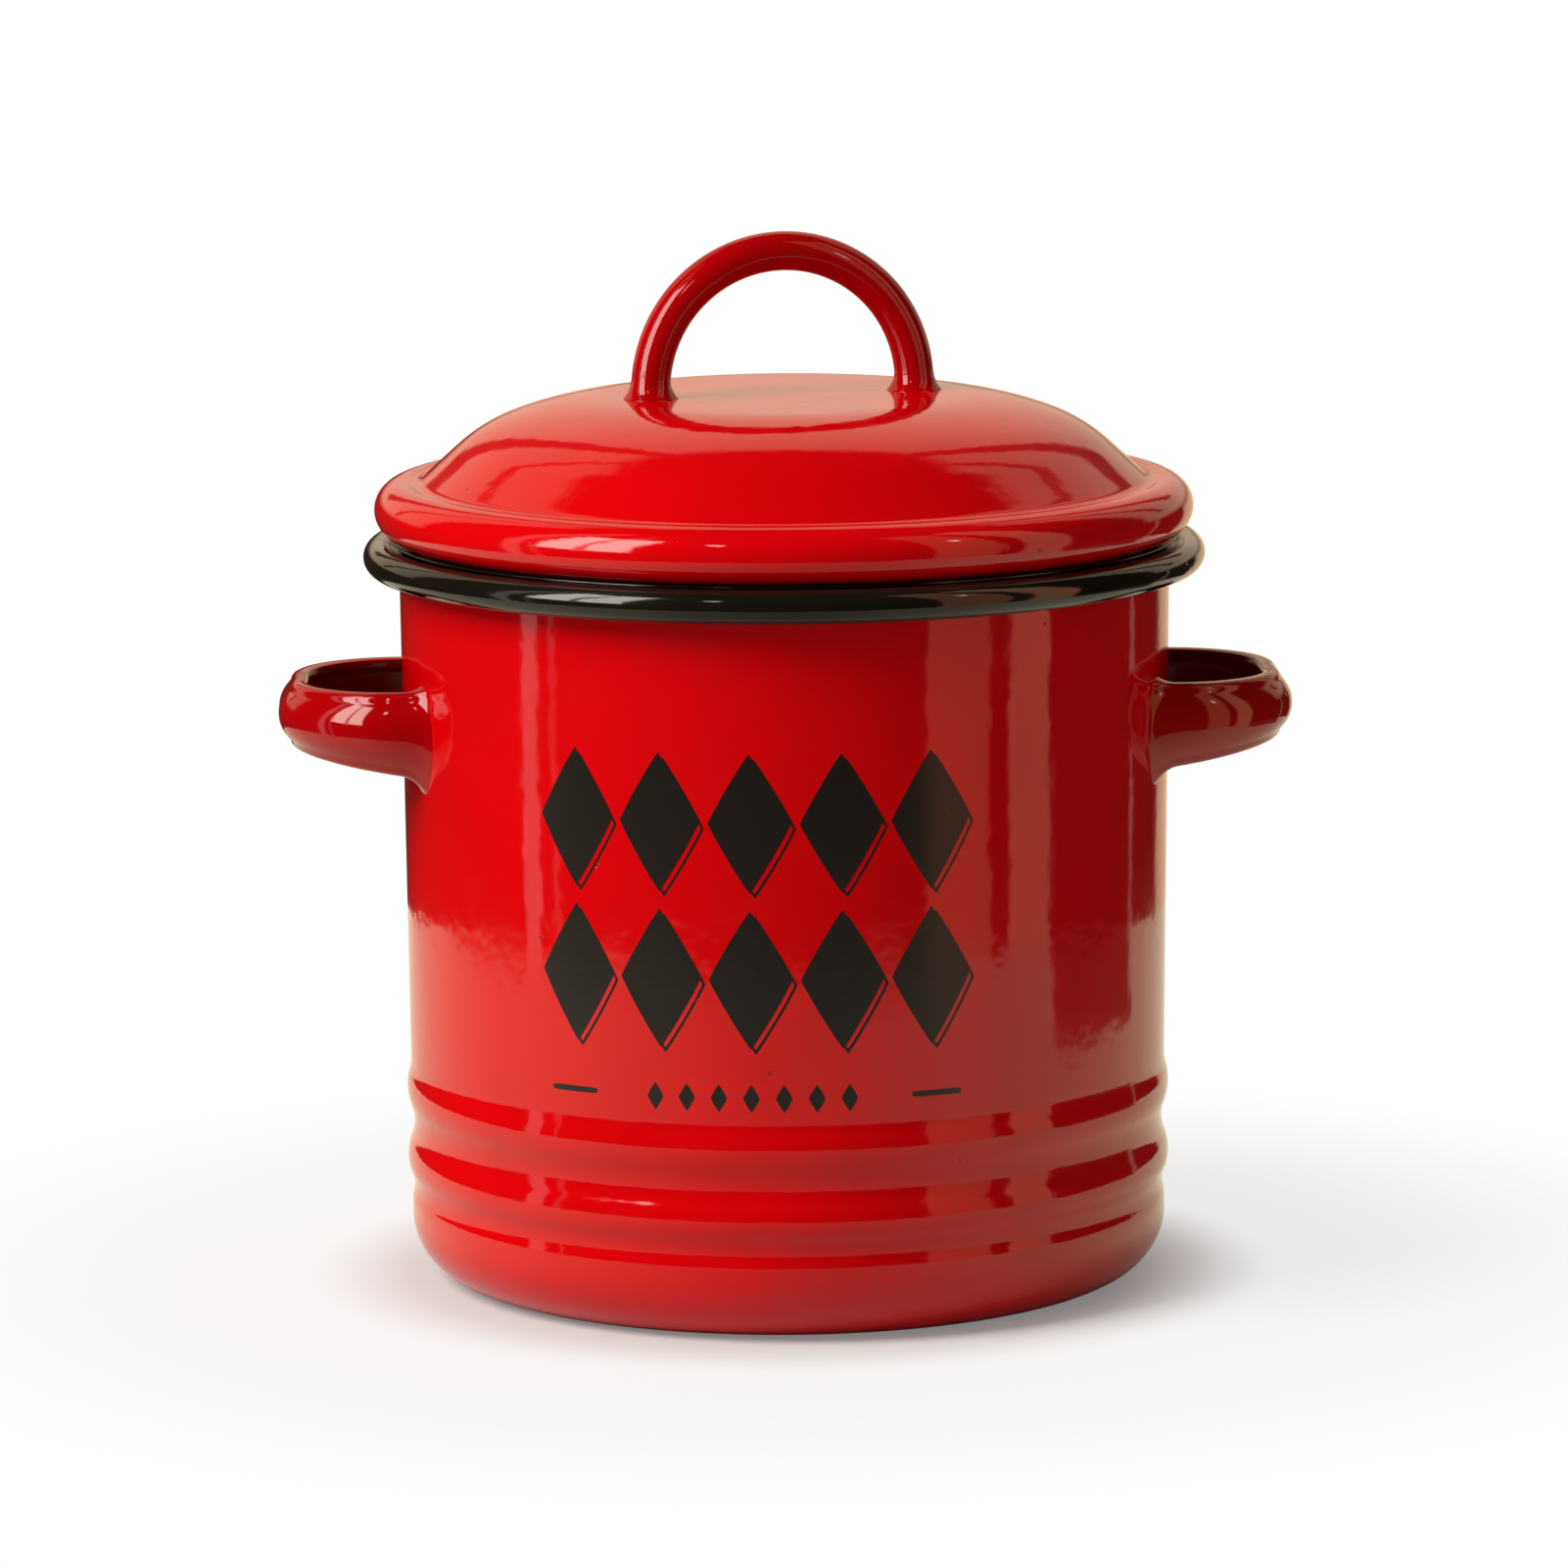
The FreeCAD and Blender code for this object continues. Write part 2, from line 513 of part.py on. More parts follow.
def main():
    """Build every sub-part in one document and write each one as a STEP file."""
    doc = FreeCAD.newDocument("GreaseKeeper")
    d = make_sheet(doc)
    parts = [
        pot_shell(doc, d),
        side_handle(doc, d, "side_handle_right", 0),
        side_handle(doc, d, "side_handle_left", 180),
        lid_shell(doc, d),
        lid_handle(doc, d),
        strainer_frame(doc, d),
        strainer_mesh(doc, d),
        clamp_ring(doc, d),
    ]
    doc.recompute()
    check(doc, parts)
    os.makedirs("parts", exist_ok=True)
    for part in parts:
        part.Shape.exportStep("parts/%s.step" % part.Label)
        box = part.Shape.BoundBox
        print("%-20s volume %8.0f  z %.2f to %.2f  x %.2f to %.2f" % (
            part.Label, part.Shape.Volume, box.ZMin, box.ZMax, box.XMin, box.XMax))


main()
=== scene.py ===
"""Enamelled grease keeper dressed for rendering: pot with side straps, lid with arch handle, strainer.

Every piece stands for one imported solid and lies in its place, in metres. Sheet-metal pieces are
skin lines turned about Z; straps and rods are sections carried along a route.
"""
import math

import bmesh
import bpy
import numpy as np
from bpy.props import FloatProperty, FloatVectorProperty, PointerProperty
from mathutils import Matrix, Vector


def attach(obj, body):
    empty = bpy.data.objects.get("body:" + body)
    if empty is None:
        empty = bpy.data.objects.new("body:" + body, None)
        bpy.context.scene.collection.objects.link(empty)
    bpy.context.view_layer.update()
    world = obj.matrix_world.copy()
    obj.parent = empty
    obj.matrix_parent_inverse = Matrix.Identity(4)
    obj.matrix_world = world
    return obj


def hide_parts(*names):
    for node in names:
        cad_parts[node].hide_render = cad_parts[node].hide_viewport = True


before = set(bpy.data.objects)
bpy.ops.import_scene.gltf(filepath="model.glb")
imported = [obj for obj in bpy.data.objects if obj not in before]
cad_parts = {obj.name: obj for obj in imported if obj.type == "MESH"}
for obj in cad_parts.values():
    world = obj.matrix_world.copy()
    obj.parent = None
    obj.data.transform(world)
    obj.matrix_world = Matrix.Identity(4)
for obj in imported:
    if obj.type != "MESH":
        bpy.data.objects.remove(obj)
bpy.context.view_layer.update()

bl_info = {
    "name": "Grease keeper",
    "version": (1, 0, 0),
    "blender": (4, 5, 0),
    "location": "View3D > Sidebar > Keeper",
    "description": "Builds an enamelled grease keeper round its packed solids",
    "category": "Object",
}

SEGMENTS = 256  # steps round the axis of a turned piece
STRAP_FACE, STRAP_EDGE = 25, 6  # points across a strap's face and round one of its edges
CREAM_ROWS = 8  # rows at the foot of the lid's skirt that are cream like its inside
MERGE_DISTANCE = 1e-8  # points closer than this are one
SHARP_ANGLE = math.radians(50)  # an edge bent by more is shaded sharp
LAMP_WATTS = 4  # power of a lamp for each square metre and level
DOME_EYE = 0.1  # height from which the dome's elevations are counted

# Cells per metre of each noise; a ring's are counted on its stretched place.
GRAIN = {"cloud": 26.0, "smear": 55.0, "pit": 75.0, "wave": 62.0, "peel": 330.0, "print": 900.0,
         "worn": 160.0, "wire": 1500.0, "ring": 2.0, "stain": 45.0, "floor": 14.0}


def length(name, default, description):
    """Property in metres."""
    return FloatProperty(name=name, description=description, default=default, unit="LENGTH")


def turn(name, degrees, description):
    """Property that is an angle."""
    return FloatProperty(name=name, description=description, default=math.radians(degrees),
                         unit="ROTATION")


def number(name, default, description):
    """Property without a unit."""
    return FloatProperty(name=name, description=description, default=default)


def colour(name, default, description):
    """Property that is a linear colour."""
    return FloatVectorProperty(name=name, description=description, default=default,
                               subtype="COLOR", size=3, min=0, max=1)


class PotSizes(bpy.types.PropertyGroup):
    """Sizes of the pot."""
    base_radius: length("Base radius", 0.062, "Outer radius of the wall above the base corner")
    mouth_radius: length("Mouth radius", 0.06285, "Outer radius of the wall where the lip starts")
    sheet: length("Sheet", 0.001, "Thickness of the enamelled steel")
    corner_radius: length("Corner radius", 0.0103, "Outer radius between base and wall")
    rib_low: length("Lower rib", 0.0197, "Height of the lower rib's crest")
    rib_pitch: length("Rib pitch", 0.0118, "Distance between the crests of the ribs")
    rib_run: length("Rib run", 0.0046, "Height over which a rib dies into the wall")
    rib_rise: length("Rib rise", 0.00065, "How far a crest stands out of the wall")
    rib_valley: length("Rib valley", 0.00045, "How far the groove between the ribs is sunk")
    foot_edge: length("Foot edge", 0.0122, "Height where the groove under the ribs starts")
    foot_groove: length("Foot groove", 0.00035, "Depth of that groove")
    lip_height: length("Lip height", 0.1169, "Height where the wall sweeps out into the lip")
    lip_sweep: length("Lip sweep", 0.0041, "Outside radius of the lip's first sweep")
    lip_turn: turn("Lip turn", 65.0, "Angle of the lip's first sweep")
    roll_radius: length("Roll radius", 0.00174, "Inside radius of the rolled rim")
    roll_turn: turn("Roll turn", 262.0, "Angle through which the rim is rolled under")
    rim_inside: length("Rim inside", 0.0022, "How far the rim's black reaches down inside")


class StrapSizes(bpy.types.PropertyGroup):
    """Sizes of the two side handles."""
    top: length("Top", 0.0995, "Height of the level upper edge")
    drop: length("Drop", 0.0142, "Height of the strap beside the pot")
    nose: length("Nose", 0.0114, "Height of the strap at its outer end")
    sheet: length("Sheet", 0.0026, "Thickness of the strap over its turned-in edges")
    half: length("Half width", 0.0204, "Half width of the D, mid-sheet")
    reach: length("Reach", 0.017, "How far the strap stands out from the wall")
    corner: length("Corner", 0.0162, "Corner radius of the D, mid-sheet")
    crown: length("Crown", 0.0019, "How far the section bulges outwards")
    flare: length("Flare", 0.0024, "How far the weld tips reach past the edges")
    flare_run: length("Flare run", 0.0036, "Length over which the strap flares out")
    weld: length("Weld", 0.0004, "How far the weld swells at the wall")
    weld_run: length("Weld run", 0.0016, "Length of that swelling")
    sink: length("Sink", 0.0005, "How deep the strap's ends lie in the wall")


class LidSizes(bpy.types.PropertyGroup):
    """Sizes of the lid and its handle."""
    sheet: length("Sheet", 0.001, "Thickness of the enamelled steel")
    bead_centre: length("Bead centre", 0.0622, "Radius of the circle through the bead's centre")
    bead_height: length("Bead height", 0.126708, "Height of the bead's centre")
    bead_radius: length("Bead radius", 0.0046, "Outside radius of the bead")
    valley_radius: length("Valley radius", 0.0025, "Radius of the valley between bead and flank")
    flank_angle: turn("Flank angle", 42.0, "Slope of the flank")
    haunch_radius: length("Haunch radius", 0.026, "Radius where the flank turns into the shoulder")
    shoulder_reach: length("Shoulder reach", 0.0448, "Radius where haunch and shoulder meet")
    shoulder_radius: length("Shoulder radius", 0.052, "Radius of the shoulder round the flat top")
    top_flat: length("Flat top", 0.027, "Radius of the flat on top")
    dome_rise: length("Dome rise", 0.0182, "Height of the flat top over the bead's centre")
    skirt_radius: length("Skirt radius", 0.059503, "Outer radius of the skirt")
    skirt_depth: length("Skirt depth", 0.0135, "How far the skirt reaches below the bead's centre")
    skirt_bend: length("Skirt bend", 0.0012, "Outside radius of the bend from bead to skirt")
    turned: turn("Turned", 11.75, "How far the loose lid lies turned on the pot")
    arch_half: length("Arch half width", 0.0221, "Half distance between the handle's feet")
    arch_leg: length("Arch leg", 0.00129, "Straight foot of the handle before the arch")
    rod_radius: length("Rod radius", 0.0032, "Radius of the handle's rod")
    foot_swell: length("Foot swell", 0.0014, "How far the weld collar stands out of the rod")
    foot_rise: length("Foot rise", 0.0034, "Height of the weld collar")


class StrainerSizes(bpy.types.PropertyGroup):
    """Sizes of the strainer."""
    cup_radius: length("Cup radius", 0.061453, "Outer radius of the cup")
    sheet: length("Sheet", 0.0005, "Thickness of the frame's sheet")
    flange_turn: turn("Flange turn", 58.0, "Angle of the flange over the lip")
    depth: length("Depth", 0.014, "Depth of the cup below the lip")
    bend: length("Bend", 0.002, "Outside radius at the bottom of the cup")
    ledge: length("Ledge", 0.0056, "Width of the net's ledge, with its bend")
    net_height: length("Net height", 0.1038, "Height of the middle of the net")
    net_radius: length("Net radius", 0.05905, "Radius of the net")
    wire_pitch: length("Wire pitch", 0.0019, "Distance between the wires of the net")
    wire_radius: length("Wire radius", 0.00018, "Radius of one wire")
    wire_wave: length("Wire wave", 0.0002, "How far a wire weaves up and down")
    clamp_width: length("Clamp width", 0.003, "Width of the ring on the net")
    clamp_sheet: length("Clamp sheet", 0.0006, "Thickness of the ring on the net")


class MotifSizes(bpy.types.PropertyGroup):
    """Sizes of the printed pattern on the front."""
    centre_turn: turn("Centre", -7.6, "Place round the wall, counted from the front")
    pitch: length("Pitch", 0.0146, "Distance between the lozenges of a row")
    half_width: length("Half width", 0.0066, "Half width of a lozenge")
    half_height: length("Half height", 0.0111, "Half height of a lozenge")
    upper_row: length("Upper row", 0.0842, "Height of the upper row")
    lower_row: length("Lower row", 0.0592, "Height of the lower row")
    small_row: length("Small row", 0.0402, "Height of the dots and rules")
    shadow: length("Shadow", 0.0008, "How far the thin outline is shifted")
    line: length("Line", 0.0004, "Width of the thin outline")
    ink: length("Ink", 0.00005, "How far the print stands on the enamel")


class FinishColours(bpy.types.PropertyGroup):
    """Colours of the finishes, linear."""
    red: colour("Red", (0.60, 0.0, 0.0018), "Red enamel")
    red_deep: colour("Deep red", (0.50, 0.0, 0.0012), "Red enamel where it lies thicker")
    # Handle red is painted shade: the red enamel darkened for the shade that falls on the handles, the
    # right strap lying in the pot's own shadow.
    shaded_handle_red: colour("Handle red", (0.36, 0.0, 0.0012), "Red enamel of the handles, fired darker")
    # This dark red is painted shade: the straps are enamelled red inside as well, and it stands in for
    # the shade in their hollow.
    shaded_maroon: colour("Maroon", (0.06, 0.0, 0.0006), "Dark red of the side handles' inside")
    black: colour("Black", (0.0075, 0.006, 0.004), "Black enamel of the rim and the strainer")
    cream: colour("Cream", (0.80, 0.755, 0.66), "Cream enamel of the inside")
    ink: colour("Ink", (0.012, 0.009, 0.007), "Printed black")
    steel: colour("Steel", (0.60, 0.585, 0.56), "Stainless steel")
    floor: colour("Floor", (0.60, 0.59, 0.575), "Floor")


class StageSizes(bpy.types.PropertyGroup):
    """Camera, light and the dome that the enamel mirrors."""
    distance: length("Distance", 1.447831, "From the aim point to the camera")
    aim_height: length("Aim height", 0.06, "Height of the aim point")
    azimuth: turn("Azimuth", -2.25, "Camera's place round the object, counted from the front")
    elevation: turn("Elevation", 9.943, "Camera's height angle")
    roll: turn("Roll", -0.403, "Camera's roll")
    focal_pixels: number("Focal length", 8990.814, "Focal length in pixels of the square picture")
    picture_pixels: number("Picture", 1601.0, "Side of the square picture in pixels")
    shift_right: number("Right", 1.826, "Pixels from the picture's centre to the aim point, right")
    shift_down: number("Down", 126.051, "Pixels from the picture's centre to the aim point, down")
    sensor: number("Sensor", 36.0, "Width of the sensor in millimetres")
    ambient: number("Ambient", 0.22, "Level of the light from all round")
    dome_radius: length("Dome radius", 0.36, "Radius of the dome that the enamel mirrors")
    dome_wall: length("Dome wall", 0.24, "Height of the dome's upright part")
    dome_top: length("Dome top", 0.62, "Height of the dome")


SIZE_GROUPS = {"pot": PotSizes, "strap": StrapSizes, "lid": LidSizes, "strainer": StrainerSizes,
               "motif": MotifSizes, "finish": FinishColours, "stage": StageSizes}


class KeeperSettings(bpy.types.PropertyGroup):
    """All sizes and colours of the keeper."""
    __annotations__ = {name: PointerProperty(type=group) for name, group in SIZE_GROUPS.items()}


class Wire:
    """One output of a node tree. Arithmetic on it adds the matching Math node."""

    def __init__(self, tree, socket):
        self.tree, self.socket = tree, socket

    def math(self, operation, *others):
        """Result of a Math node on this wire and the others."""
        return add_node(self.tree, "ShaderNodeMath", {"operation": operation},
                        dict(enumerate((self, *others))))

    def after(self, operation, other):
        """Result of a Math node on a value and this wire, in that order."""
        return add_node(self.tree, "ShaderNodeMath", {"operation": operation}, {0: other, 1: self})

    def __add__(self, other):
        return self.math("ADD", other)

    def __sub__(self, other):
        return self.math("SUBTRACT", other)

    def __rsub__(self, other):
        return self.after("SUBTRACT", other)

    def __mul__(self, other):
        return self.math("MULTIPLY", other)

    def __truediv__(self, other):
        return self.math("DIVIDE", other)

    def __rtruediv__(self, other):
        return self.after("DIVIDE", other)

    def __pow__(self, other):
        return self.math("POWER", other)

    __radd__, __rmul__ = __add__, __mul__

    def ramp(self, low, high):
        """0 below low, 1 above high and smooth between them."""
        return add_node(self.tree, "ShaderNodeMapRange", {"interpolation_type": "SMOOTHSTEP"},
                        {0: self, 1: low, 2: high})

    def within(self, limits, soft):
        """1 between two limits, 0 outside, with soft edges."""
        low, high = limits
        return self.ramp(low - soft, low + soft) * (1.0 - self.ramp(high - soft, high + soft))


def add_node(tree, kind, setup, sockets, output=0):
    """Any node: its settings first, then the values or wires of its sockets; returns one output."""
    node = tree.nodes.new(kind)
    for name, value in setup.items():
        setattr(node, name, value)
    for name, term in sockets.items():
        place = node.inputs[name]
        if isinstance(term, Wire):
            tree.links.new(term.socket, place)
        elif place.type == "RGBA":
            place.default_value = (*term, 1.0)
        else:
            place.default_value = term
    return Wire(tree, node.outputs[output]) if node.outputs else None


class Finish:
    """A material or world whose nodes are being put together."""

    def __init__(self, block):
        block.use_nodes = True
        self.block, self.tree = block, block.node_tree
        self.tree.nodes.clear()

    def node(self, kind, setup, sockets, output=0):
        """Any node of this finish."""
        return add_node(self.tree, kind, setup, sockets, output)

    def place(self):
        """Position on the piece, which is its place in the shared frame."""
        return self.node("ShaderNodeTexCoord", {}, {}, "Object")

    def split(self, vector):
        """The three parts of a vector."""
        parts = self.node("ShaderNodeSeparateXYZ", {}, {0: vector}).socket.node.outputs
        return [Wire(self.tree, part) for part in parts]

    def noise(self, place, grain, detail, roughness=0.5):
        """Soft noise of a named grain, mostly between 0.3 and 0.7."""
        return self.node("ShaderNodeTexNoise", {}, {
            "Vector": place, "Scale": GRAIN[grain], "Detail": detail, "Roughness": roughness}, "Fac")

    def specks(self, place, grain, radius):
        """1 in small round spots scattered by cells, 0 elsewhere."""
        near = self.node("ShaderNodeTexVoronoi", {}, {"Vector": place, "Scale": GRAIN[grain]},
                         "Distance")
        return 1.0 - near.ramp(radius * 0.6, radius)

    def mix(self, share, first, second):
        """Colour between two colours."""
        return self.node("ShaderNodeMix", {"data_type": "RGBA"}, {0: share, 6: first, 7: second}, 2)

    def blend(self, share, first, second):
        """Surface between two shaders."""
        return self.node("ShaderNodeMixShader", {}, {0: share, 1: first, 2: second})

    def glow(self, tone):
        """Shader that shines in a colour, at a level where 1 is white."""
        return self.node("ShaderNodeEmission", {}, {"Color": tone})

    def bump(self, height, distance):
        """Normal that follows a height; distance is the height's size in metres."""
        return self.node("ShaderNodeBump", {}, {"Height": height, "Distance": distance})

    def surface(self, shader, kind="ShaderNodeOutputMaterial"):
        """Connect the shader to the output, and return the material."""
        self.node(kind, {}, {"Surface": shader})
        return self.block


def arc(centre, radius, first, last, count):
    """Points of a circle from angle first to last, in degrees, and the unit normals on their left."""
    angle = np.radians(np.linspace(first, last, count))
    radial = np.stack([np.cos(angle), np.sin(angle)], 1)
    return np.array(centre) + radius * radial, radial * (-1.0 if last > first else 1.0)


def straight(start, end, count):
    """Evenly spaced points of a line from start to end, and the unit normals on their left."""
    start, end = np.array(start, float), np.array(end, float)
    way = (end - start) / np.linalg.norm(end - start)
    share = np.linspace(0, 1, count)[:, None]
    return start + (end - start) * share, np.tile([-way[1], way[0]], (count, 1))


def chain(*pieces):
    """One line from pieces that each begin where the last one ends; a shared point is kept once."""
    first, rest = pieces[0], pieces[1:]
    return tuple(np.concatenate([first[k]] + [piece[k][1:] for piece in rest]) for k in (0, 1))


def polar(centre, radius, degrees):
    """Point at an angle round a centre."""
    angle = math.radians(degrees)
    return np.array(centre) + radius * np.array([math.cos(angle), math.sin(angle)])


def half_turn(count):
    """Angles of a half turn that lie between its ends."""
    return np.linspace(0, math.pi, count + 2)[1:-1]


def full_turn(count):
    """Equally spaced angles of a full turn."""
    return np.linspace(0, 2 * math.pi, count, endpoint=False)


def squared(value, power):
    """A sine or cosine drawn towards its ends, sign(v) |v|^power, which squares a circle's corners."""
    return np.sign(value) * np.abs(value) ** power


def edge_round(point, normal, sheet):
    """Half circle over a sheet's cut edge, from skin to back, of half the sheet's thickness."""
    angle = half_turn(5)[:, None]
    way = np.array([normal[1], -normal[0]])
    return point + sheet / 2 * normal * (1 - np.cos(angle)) + abs(sheet) / 2 * way * np.sin(angle)


def sheet_outline(line, sheet):
    """Outline of a bent sheet: its skin, the round cut edge, and back at the sheet's distance left."""
    points, normals = line
    edge = edge_round(points[-1], normals[-1], sheet)
    return np.concatenate([points, edge, (points + sheet * normals)[::-1]])


def turned(outline, segments=SEGMENTS):
    """Outline turned about Z: x = r cos a, y = r sin a, z = h, for equally spaced angles a."""
    angle = full_turn(segments)[:, None]
    radius, height = outline[:, 0], outline[:, 1]
    return np.stack([radius * np.cos(angle), radius * np.sin(angle), height + 0 * angle], -1)[None]


def grid_faces(rows, columns, wrap_rows, wrap_columns):
    """Four-sided faces between neighbours of a grid of points, closed round where it wraps."""
    row = np.arange(rows if wrap_rows else rows - 1)[:, None]
    column = np.arange(columns if wrap_columns else columns - 1)[None, :]
    next_row, next_column = (row + 1) % rows, (column + 1) % columns
    corners = (row * columns + column, next_row * columns + column,
               next_row * columns + next_column, row * columns + next_column)
    return np.stack(corners, -1).reshape(-1, 4)


def outward(points, faces):
    """Faces in the order that makes the closed surface's signed volume positive."""
    a, b, c, d = (points[faces[:, k]] for k in range(4))
    volume = (a * np.cross(b, c)).sum() + (a * np.cross(c, d)).sum()
    return faces if volume > 0 else faces[:, ::-1]


def close_ends(grid):
    """Grid whose first and last row are each closed by a point at their middle."""
    ends = [np.broadcast_to(grid[k].mean(0), grid[k].shape)[None] for k in (0, -1)]
    return np.concatenate([ends[0], grid, ends[1]])


def new_object(name, data):
    """Object of the scene that shows some data."""
    thing = bpy.data.objects.new(name, data)
    bpy.context.scene.collection.objects.link(thing)
    return thing


def make_piece(name, grids, wrap, materials, zones=None):
    """Mesh object from grids of points, (count, rows, columns, 3); doubles at poles are merged.

    zones holds the material of each face of a grid, or of each face of a row.
    """
    count, rows, columns = grids.shape[:3]
    points = grids.reshape(-1, 3)
    faces = grid_faces(rows, columns, *wrap)
    faces = (faces[None] + (np.arange(count) * rows * columns)[:, None, None]).reshape(-1, 4)
    faces = outward(points, faces)
    mesh = bpy.data.meshes.new(name)
    mesh.from_pydata(points.tolist(), [], faces.tolist())
    if zones is not None:
        repeats = len(faces) // len(zones)
        mesh.polygons.foreach_set("material_index", np.tile(zones, repeats).astype(np.int32))
    work = bmesh.new()
    work.from_mesh(mesh)
    bmesh.ops.remove_doubles(work, verts=work.verts, dist=MERGE_DISTANCE)
    work.to_mesh(mesh)
    work.free()
    mesh.shade_smooth()
    mesh.set_sharp_from_angle(angle=SHARP_ANGLE)
    for material in materials:
        mesh.materials.append(material)
    return new_object(name, mesh)


def dress(piece, body, slot, *nodes):
    """Let a piece ride on its body and stand for its solids."""
    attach(piece, body)
    if nodes:
        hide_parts(*nodes)


def shade(tone, share):
    """A colour at a share of its brightness."""
    return [part * share for part in tone]


def enamel(name, light, deep, gloss=0.5):
    """Glossy enamel: cloudy depth of colour, shallow waves and orange peel, faint smears, pinholes."""
    finish = Finish(bpy.data.materials.new(name))
    place = finish.place()
    cloud = finish.noise(place, "cloud", 3.0).ramp(0.35, 0.68)
    smear = finish.noise(place, "smear", 4.0, 0.6).ramp(0.45, 0.75)
    pit = finish.specks(place, "pit", 0.035)
    body = finish.mix(cloud * 0.55 + smear * 0.1, light, deep)
    body = finish.mix(pit * 0.5, body, shade(light, 0.25))
    waves = finish.noise(place, "wave", 1.0)
    peel = finish.noise(place, "peel", 1.0)
    height = waves * 0.9 + peel * 0.28 - pit * 0.5
    shader = finish.node("ShaderNodeBsdfPrincipled", {}, {
        "Base Color": body, "Roughness": 0.06 + smear * 0.05 + peel * 0.02,
        "Specular IOR Level": gloss,
        "Normal": finish.bump(height, 0.00012)})
    return finish.surface(shader)


def printed_ink(name, ink, below):
    """Printed black: half gloss, fine grain and a few worn pinholes through which the enamel shows."""
    finish = Finish(bpy.data.materials.new(name))
    place = finish.place()
    grain = finish.noise(place, "print", 3.0, 0.7)
    worn = finish.noise(place, "worn", 4.0, 0.7).ramp(0.68, 0.74) * grain.ramp(0.45, 0.6)
    body = finish.mix(worn * 0.55, ink, below)
    shader = finish.node("ShaderNodeBsdfPrincipled", {}, {
        "Base Color": body, "Roughness": 0.16 + grain * 0.12, "Specular IOR Level": 0.4,
        "Normal": finish.bump(grain - worn * 0.6, 0.000015)})
    return finish.surface(shader)


def stainless(name, tone, brushed):
    """Stainless steel; where brushed, a noise stretched round the axis makes fine rings."""
    finish = Finish(bpy.data.materials.new(name))
    place = finish.place()
    x, y, z = finish.split(place)
    radius = (x * x + y * y) ** 0.5
    rings = finish.node("ShaderNodeCombineXYZ", {}, {
        "X": x / (radius + 0.0001), "Y": y / (radius + 0.0001), "Z": radius * 2600.0 + z * 2100.0})
    brush = finish.noise(*((rings, "ring") if brushed else (place, "wire")), 3.0, 0.6)
    stain = finish.noise(place, "stain", 3.0).ramp(0.4, 0.75)
    body = finish.mix(stain * 0.35 + brush * 0.2, tone, shade(tone, 0.72))
    shader = finish.node("ShaderNodeBsdfPrincipled", {}, {
        "Base Color": body, "Metallic": 1.0, "Roughness": 0.17 + brush * 0.16 + stain * 0.06,
        "Normal": finish.bump(brush, 0.000012)})
    return finish.surface(shader)


def wall_foot(pot):
    """Height where the ribs end and the straight wall begins."""
    return pot.rib_low + pot.rib_pitch + pot.rib_run


def wall_radius(pot, height):
    """Outer radius of the straight wall at a height."""
    foot = wall_foot(pot)
    share = (height - foot) / (pot.lip_height - foot)
    return pot.base_radius + share * (pot.mouth_radius - pot.base_radius)


def wave(start, end):
    """Two equal arcs that lead from one upright tangent to the next."""
    run, step = end[1] - start[1], end[0] - start[0]
    radius = (run ** 2 + step ** 2) / (4 * abs(step))
    bend = math.degrees(math.asin(run / (2 * radius)))
    side = math.copysign(radius, step)
    turns = (180, 180 - bend, -bend, 0) if step > 0 else (0, bend, 180 + bend, 180)
    return chain(arc((start[0] + side, start[1]), radius, *turns[:2], 10),
                 arc((end[0] - side, end[1]), radius, *turns[2:], 10))


def pot_lines(pot):
    """Skin of the pot in two parts: base, corner, ribs and wall; then swept lip and rolled rim."""
    base, corner, low = pot.base_radius, pot.corner_radius, pot.rib_low
    crest, valley = base + pot.rib_rise, base - pot.rib_valley
    stops = ((base, pot.foot_edge), (base - pot.foot_groove, low - pot.rib_run), (crest, low),
             (valley, low + pot.rib_pitch / 2), (crest, low + pot.rib_pitch), (base, wall_foot(pot)))
    wall = chain(
        straight((0, 0), (base - corner, 0), 4),
        arc((base - corner, corner), corner, -90, 0, 18),
        straight((base, corner), stops[0], 4),
        *map(wave, stops, stops[1:]),
        straight(stops[-1], (pot.mouth_radius, pot.lip_height), 40))
    sweep_centre = (pot.mouth_radius + pot.lip_sweep, pot.lip_height)
    edge = 180 - math.degrees(pot.lip_turn)
    roll_centre = polar(polar(sweep_centre, pot.lip_sweep, edge), pot.roll_radius, edge - 180)
    lip = chain(arc(sweep_centre, pot.lip_sweep, 180, edge, 12),
                arc(roll_centre, pot.roll_radius, edge, edge - math.degrees(pot.roll_turn), 26))
    return wall, lip


